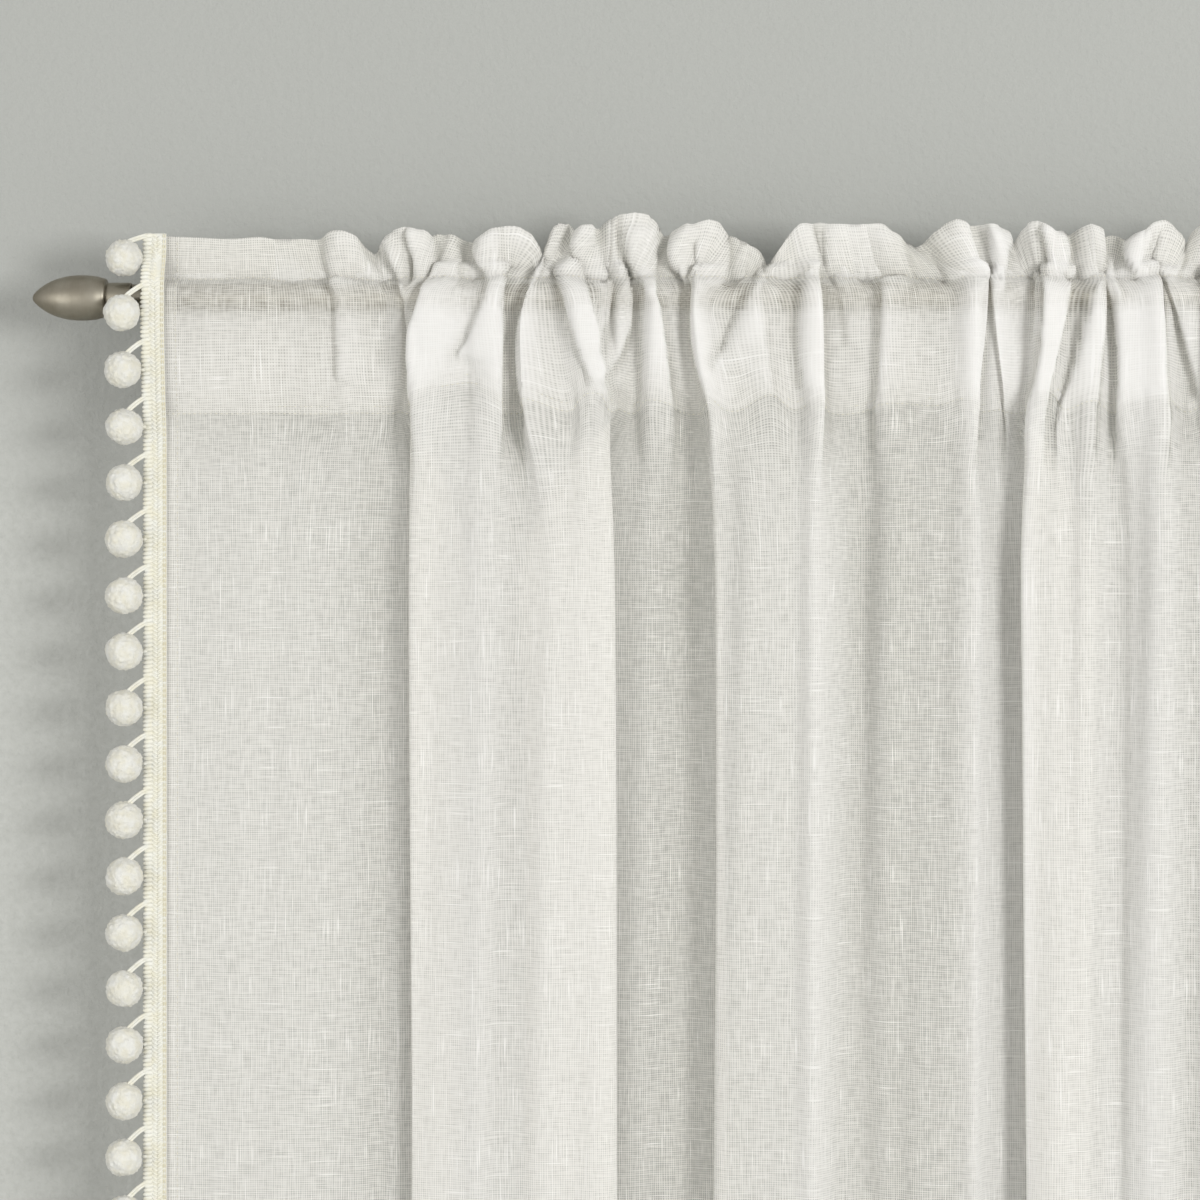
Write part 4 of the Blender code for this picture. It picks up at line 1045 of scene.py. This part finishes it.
def yarns(n, cut, drift, axis):
    """How much one set of yarns covers, 0 in a gap and 1 on a yarn: evenly spaced but for their
    drift, each yarn swelling and thinning as it runs."""
    place = n.add("SeparateXYZ", {0: cut}).outputs[axis]
    swell = n.flat_noise(cut, *((SWELL_ACROSS, SWELL_ALONG), (SWELL_ALONG, SWELL_ACROSS))[axis])
    turns = n.math("MULTIPLY", place, 2 * math.pi / YARN_PITCH)
    wave = n.math("SINE", n.math("ADD", turns, drift))
    both = n.math("ADD", n.math("MULTIPLY", wave, YARN_ROUND), n.ramp(swell, 0.2, 0.8, -0.5, 0.5))
    return n.ramp(both, -1.4, 1.1)


DRIFT_SCALE, DRIFT = 24, 4.0  # wandering of the yarns: to a metre, radians
# thick stretches of a yarn: how many to a metre across and down, and the noise they rise over
SLUBS = ((1250, 30), (0.75, 0.87))
CROSS_SLUBS = ((34, 1250), (0.79, 0.90))
SLUB_THICK = 0.28
GAP_HOLE = 0.60  # share of a gap between yarns that light passes straight
YARN_HOLE = (0.235, 0.125)  # and of the cloth at its thinnest and thickest yarns
GATHER_SHADE_HOLE = (1.50, 0.15)  # both times this, from flat cloth to thickly gathered, so the places in painted shade are also more see-through
YARN_TONE, GATHER_SHADE_TONE = 0.20, 0.80  # shares of yarns and of gathers in the lighter colour; the gathers' share is painted shade and light by depth and beside the creases
# the darker colour is thin yarns and painted shade, where the cloth lies back or beside a crease;
# the lighter one is full yarns and painted light, where it stands forward
THIN_AND_SHADED_VOILE = (0.77, 0.755, 0.70, 1)
FULL_AND_LIT_VOILE = (0.86, 0.852, 0.84, 1)
LIT_THROUGH = (0.87, 0.86, 0.81, 1)
SHARE_THROUGH = 0.26


def voile_material():
    """Semi-sheer voile: uneven yarns both ways, thin slubs, daylight through the gaps, and
    denser where it is thickly gathered, with painted shade: darker where it lies back or beside a
    crease, and lighter where it stands forward."""
    n = Nodes("ivory_voile_weave")
    cut = n.add("UVMap", uv_map="cut").outputs[0]
    gather_and_shade = n.add("Attribute", attribute_name="gather_and_shade").outputs["Fac"]
    drift = n.math("MULTIPLY", n.flat_noise(cut, DRIFT_SCALE, DRIFT_SCALE), DRIFT)
    warp = yarns(n, cut, drift, 0)
    weft = yarns(n, cut, drift, 1)
    slub, cross_slub = [n.ramp(n.flat_noise(cut, *scales), *rise)
                        for scales, rise in (SLUBS, CROSS_SLUBS)]
    yarn = n.math("MULTIPLY", n.math("ADD", warp, weft), 0.5)
    gap = n.math("MULTIPLY", n.math("SUBTRACT", 1.0, warp), n.math("SUBTRACT", 1.0, weft))
    hole = n.math("ADD", n.math("MULTIPLY", gap, GAP_HOLE), n.ramp(yarn, 0.0, 1.0, *YARN_HOLE))
    hole = n.math("MULTIPLY", hole, n.ramp(gather_and_shade, 0.0, 1.0, *GATHER_SHADE_HOLE))
    thick = n.math("MULTIPLY", n.math("MAXIMUM", slub, cross_slub), SLUB_THICK)
    cover = n.math("SUBTRACT", n.math("ADD", thick, 1.0), hole, clamp=True)
    # painted shade and light: the gather attribute darkens the colour where the cloth lies back or
    # beside a crease, and lightens it where it stands forward
    full = n.math("ADD", n.math("MULTIPLY", yarn, YARN_TONE),
                  n.math("MULTIPLY", gather_and_shade, GATHER_SHADE_TONE))
    tone = n.blend(n.math("ADD", full, thick, clamp=True), THIN_AND_SHADED_VOILE, FULL_AND_LIT_VOILE)
    front = n.add("BsdfDiffuse", {"Color": tone, "Roughness": 0.6}).outputs[0]
    through = n.add("BsdfTranslucent", {"Color": LIT_THROUGH}).outputs[0]
    cloth = n.add("MixShader", {0: SHARE_THROUGH, 1: front, 2: through}).outputs[0]
    clear = n.add("BsdfTransparent", {"Color": (1, 1, 1, 1)}).outputs[0]
    return n.finish(n.add("MixShader", {0: cover, 1: clear, 2: cloth}).outputs[0])


WARMER = (0.97, 0.945, 0.86)  # of a yarn's colour, in its warmer patches


def yarn_material(name, colour, scale, strength):
    """Soft twisted yarn or felt, lightly mottled."""
    n = Nodes(name)
    where = n.add("TexCoord").outputs["Object"]
    mottle = n.noise(where, scale, 4.0, 0.6)
    patches = n.ramp(n.noise(where, scale / 7, 3.0), 0.35, 0.65)
    warm = tuple(c * k for c, k in zip(colour, WARMER)) + (1,)
    bump = n.add("Bump", {"Height": mottle, "Strength": strength, "Distance": 0.0006}).outputs[0]
    shader = n.add("BsdfPrincipled", {"Base Color": n.blend(patches, colour + (1,), warm),
                                      "Roughness": 0.9, "Sheen Weight": 0.3,
                                      "Sheen Roughness": 0.5, "Specular IOR Level": 0.15,
                                      "Normal": bump})
    return n.finish(shader.outputs[0])


BRUSHED = (2600, 60, 60)  # the brushing's grain runs round the rod
CLOUD_SCALE, PIT_SCALE = 90.0, 520.0
BRIGHT_NICKEL = (0.325, 0.300, 0.245, 1)
WORN_NICKEL = (0.265, 0.240, 0.19, 1)


def nickel_material():
    """Warm brushed nickel, faintly worn and pitted."""
    n = Nodes("brushed_nickel")
    where = n.add("TexCoord").outputs["Object"]
    brush = n.noise(n.scaled(where, BRUSHED), 1.0, 2.0)
    cloud = n.noise(where, CLOUD_SCALE, 3.0)
    pits = n.ramp(n.noise(where, PIT_SCALE, 1.0), 0.72, 0.80)
    rough = n.math("ADD", n.ramp(brush, 0.3, 0.7, 0.40, 0.50), n.ramp(cloud, 0.3, 0.7, -0.03, 0.08))
    tint = n.blend(n.ramp(cloud, 0.35, 0.65), BRIGHT_NICKEL, WORN_NICKEL)
    height = n.math("SUBTRACT", n.math("MULTIPLY", brush, 0.25), pits)
    bump = n.add("Bump", {"Height": height, "Strength": 0.10, "Distance": 0.0002}).outputs[0]
    shader = n.add("BsdfPrincipled", {"Base Color": tint, "Metallic": 1.0, "Roughness": rough,
                                      "Normal": bump})
    return n.finish(shader.outputs[0])


def plain_material(name, colour):
    n = Nodes(name)
    shader = n.add("BsdfPrincipled", {"Base Color": colour, "Roughness": 0.9})
    return n.finish(shader.outputs[0])


# ---- stage ----

PICTURE_WIDTH = 0.7116  # metres across the picture at the rod
PICTURE_CENTRE = (-0.184, 0.0, -0.1797)
CAMERA_DISTANCE = 2.0
CAMERA_TURN = math.radians(1.2)
SENSOR = 36.0  # mm


def add_camera():
    data = bpy.data.cameras.new("camera")
    data.sensor_width = SENSOR
    data.lens = SENSOR * CAMERA_DISTANCE / PICTURE_WIDTH
    camera = bpy.data.objects.new("camera", data)
    x, y, z = PICTURE_CENTRE
    camera.location = (x + CAMERA_DISTANCE * math.sin(CAMERA_TURN),
                       y - CAMERA_DISTANCE * math.cos(CAMERA_TURN), z)
    camera.rotation_euler = (math.radians(90), 0, CAMERA_TURN)
    bpy.context.scene.collection.objects.link(camera)
    bpy.context.scene.camera = camera


# area lights: name, place, aim, size, power
LIGHTS = (("window", (1.9, -2.8, 0.0), (-0.2, 0, -0.4), 0.9, 76),
          ("room", (-1.8, -1.9, -0.3), (-0.5, 0, -0.5), 1.4, 18))


def add_light(name, place, aim, size, power):
    data = bpy.data.lights.new(name, "AREA")
    data.shape = "SQUARE"
    data.size = size
    data.energy = power
    light = bpy.data.objects.new(name, data)
    light.location = place
    x, y, z = np.array(place) - np.array(aim)
    light.rotation_euler = (math.acos(z / math.hypot(x, y, z)), 0, math.atan2(x, -y))
    bpy.context.scene.collection.objects.link(light)


SKY = (0.80, 0.80, 0.79, 1)
SKY_STRENGTH = 0.87


def add_world():
    world = bpy.data.worlds.new("studio")
    world.use_nodes = True
    background = world.node_tree.nodes["Background"]
    background.inputs["Color"].default_value = SKY
    background.inputs["Strength"].default_value = SKY_STRENGTH
    bpy.context.scene.world = world


PAINT_SCALE = 210.0  # the paint's texture, to a metre
PAINT_DARK = (0.40, 0.405, 0.38, 1)
PAINT_LIGHT = (0.455, 0.46, 0.435, 1)
PAINTED_SHADE_ABOVE = (0.362, 0.368, 0.348, 1)  # painted shade: the wall's colour darkens above the rod
DARKENS = (-0.14, 0.04, 0.0, 0.9)  # painted shade from and to these heights, from and to this share


def wall_material():
    """Pale matt paint, with painted shade darkening it above the rod, seen only from its front, so
    that it hides nothing from behind.
    """
    n = Nodes("pale_wall")
    where = n.add("TexCoord").outputs["Object"]
    height = n.noise(where, PAINT_SCALE, 4.0, 0.65)
    bump = n.add("Bump", {"Height": height, "Strength": 0.6, "Distance": 0.002}).outputs[0]
    tone = n.blend(n.ramp(height, 0.3, 0.7), PAINT_DARK, PAINT_LIGHT)
    # painted shade: the paint colour darkens above the rod
    up = n.ramp(n.add("SeparateXYZ", {0: where}).outputs[2], *DARKENS)
    tone = n.blend(up, tone, PAINTED_SHADE_ABOVE)
    paint = n.add("BsdfDiffuse", {"Color": tone, "Normal": bump}).outputs[0]
    clear = n.add("BsdfTransparent").outputs[0]
    behind = n.add("NewGeometry").outputs["Backfacing"]
    return n.finish(n.add("MixShader", {0: behind, 1: paint, 2: clear}).outputs[0])


def stage_plane(name, corners, material):
    mesh = bpy.data.meshes.new(name)
    mesh.from_pydata(corners, [], [(0, 1, 2, 3)])
    mesh.materials.append(material)
    plane = bpy.data.objects.new(name, mesh)
    bpy.context.scene.collection.objects.link(plane)


# the stage, in metres: the room's half width, and where its floor, wall and wall's top are
ROOM_HALF, FLOOR_Z, WALL_Y, WALL_TOP = 3.0, -1.42, 0.062, 1.6
FLOOR_COLOUR = (0.62, 0.62, 0.60, 1)


def add_stage():
    half = ROOM_HALF
    stage_plane("floor", [(-half, -half, FLOOR_Z), (half, -half, FLOOR_Z), (half, WALL_Y, FLOOR_Z),
                          (-half, WALL_Y, FLOOR_Z)], plain_material("pale_floor", FLOOR_COLOUR))
    stage_plane("wall", [(-half, WALL_Y, FLOOR_Z), (half, WALL_Y, FLOOR_Z),
                         (half, WALL_Y, WALL_TOP), (-half, WALL_Y, WALL_TOP)], wall_material())


# ---- the whole ----

def finished(piece, look, slot, *nodes):
    """Give a piece its material and its place in the frame."""
    piece.data.materials.append(look)
    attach(piece, "root")
    if nodes:
        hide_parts(*nodes)
    return piece


# yarns and felt: colour, scale of the mottling to a metre, its strength
YARN_LOOKS = {
    "ivory_braid_yarn": ((0.72, 0.715, 0.655), 1500.0, 0.6),
    "ivory_felt_wool": ((0.67, 0.665, 0.625), 1300.0, 1.0),
    "cream_thread": ((0.77, 0.755, 0.67), 1500.0, 0.2),
    # a yellower, darker thread for the two rows of stitches down the braid's edge
    "yellow_thread": ((0.72, 0.68, 0.53), 1500.0, 0.2),
}
DIFFUSE_BOUNCES = 2


def main():
    nickel = nickel_material()
    braid_yarn, felt, thread, trim_thread = [yarn_material(name, *look)
                                             for name, look in YARN_LOOKS.items()]
    grid, places, across, gather_and_shade = voile_grid()
    line = trim_line(grid, places)
    centres = [pom_centre(name) for name in pom_names()]
    voile = finished(build_voile(grid, places, across, gather_and_shade), voile_material(), "voile",
                     "voile_panel")
    stitches = finished(build_stitches(grid, places, gather_and_shade), thread, "voile")
    finished(build_braid(line, centres), braid_yarn, "braid", "pompom_braid")
    finished(build_loops(line, centres), braid_yarn, "braid")
    finished(build_trim_stitches(line), trim_thread, "braid")
    ball = felt_ball()
    for number, name in enumerate(pom_names(), 1):
        finished(build_pom(name, number, ball), felt, "felt", name)
    finished(build_rod(), nickel, "nickel", "rod")
    for name, side in (("finial_left", -1), ("finial_right", 1)):
        finished(turned(name + "_turned", finial_profile(), side), nickel, "nickel", name)
    add_camera()
    add_world()
    add_stage()
    for light in LIGHTS:
        add_light(*light)
    bpy.context.scene.view_settings.view_transform = "Standard"
    bpy.context.scene.cycles.diffuse_bounces = DIFFUSE_BOUNCES


main()
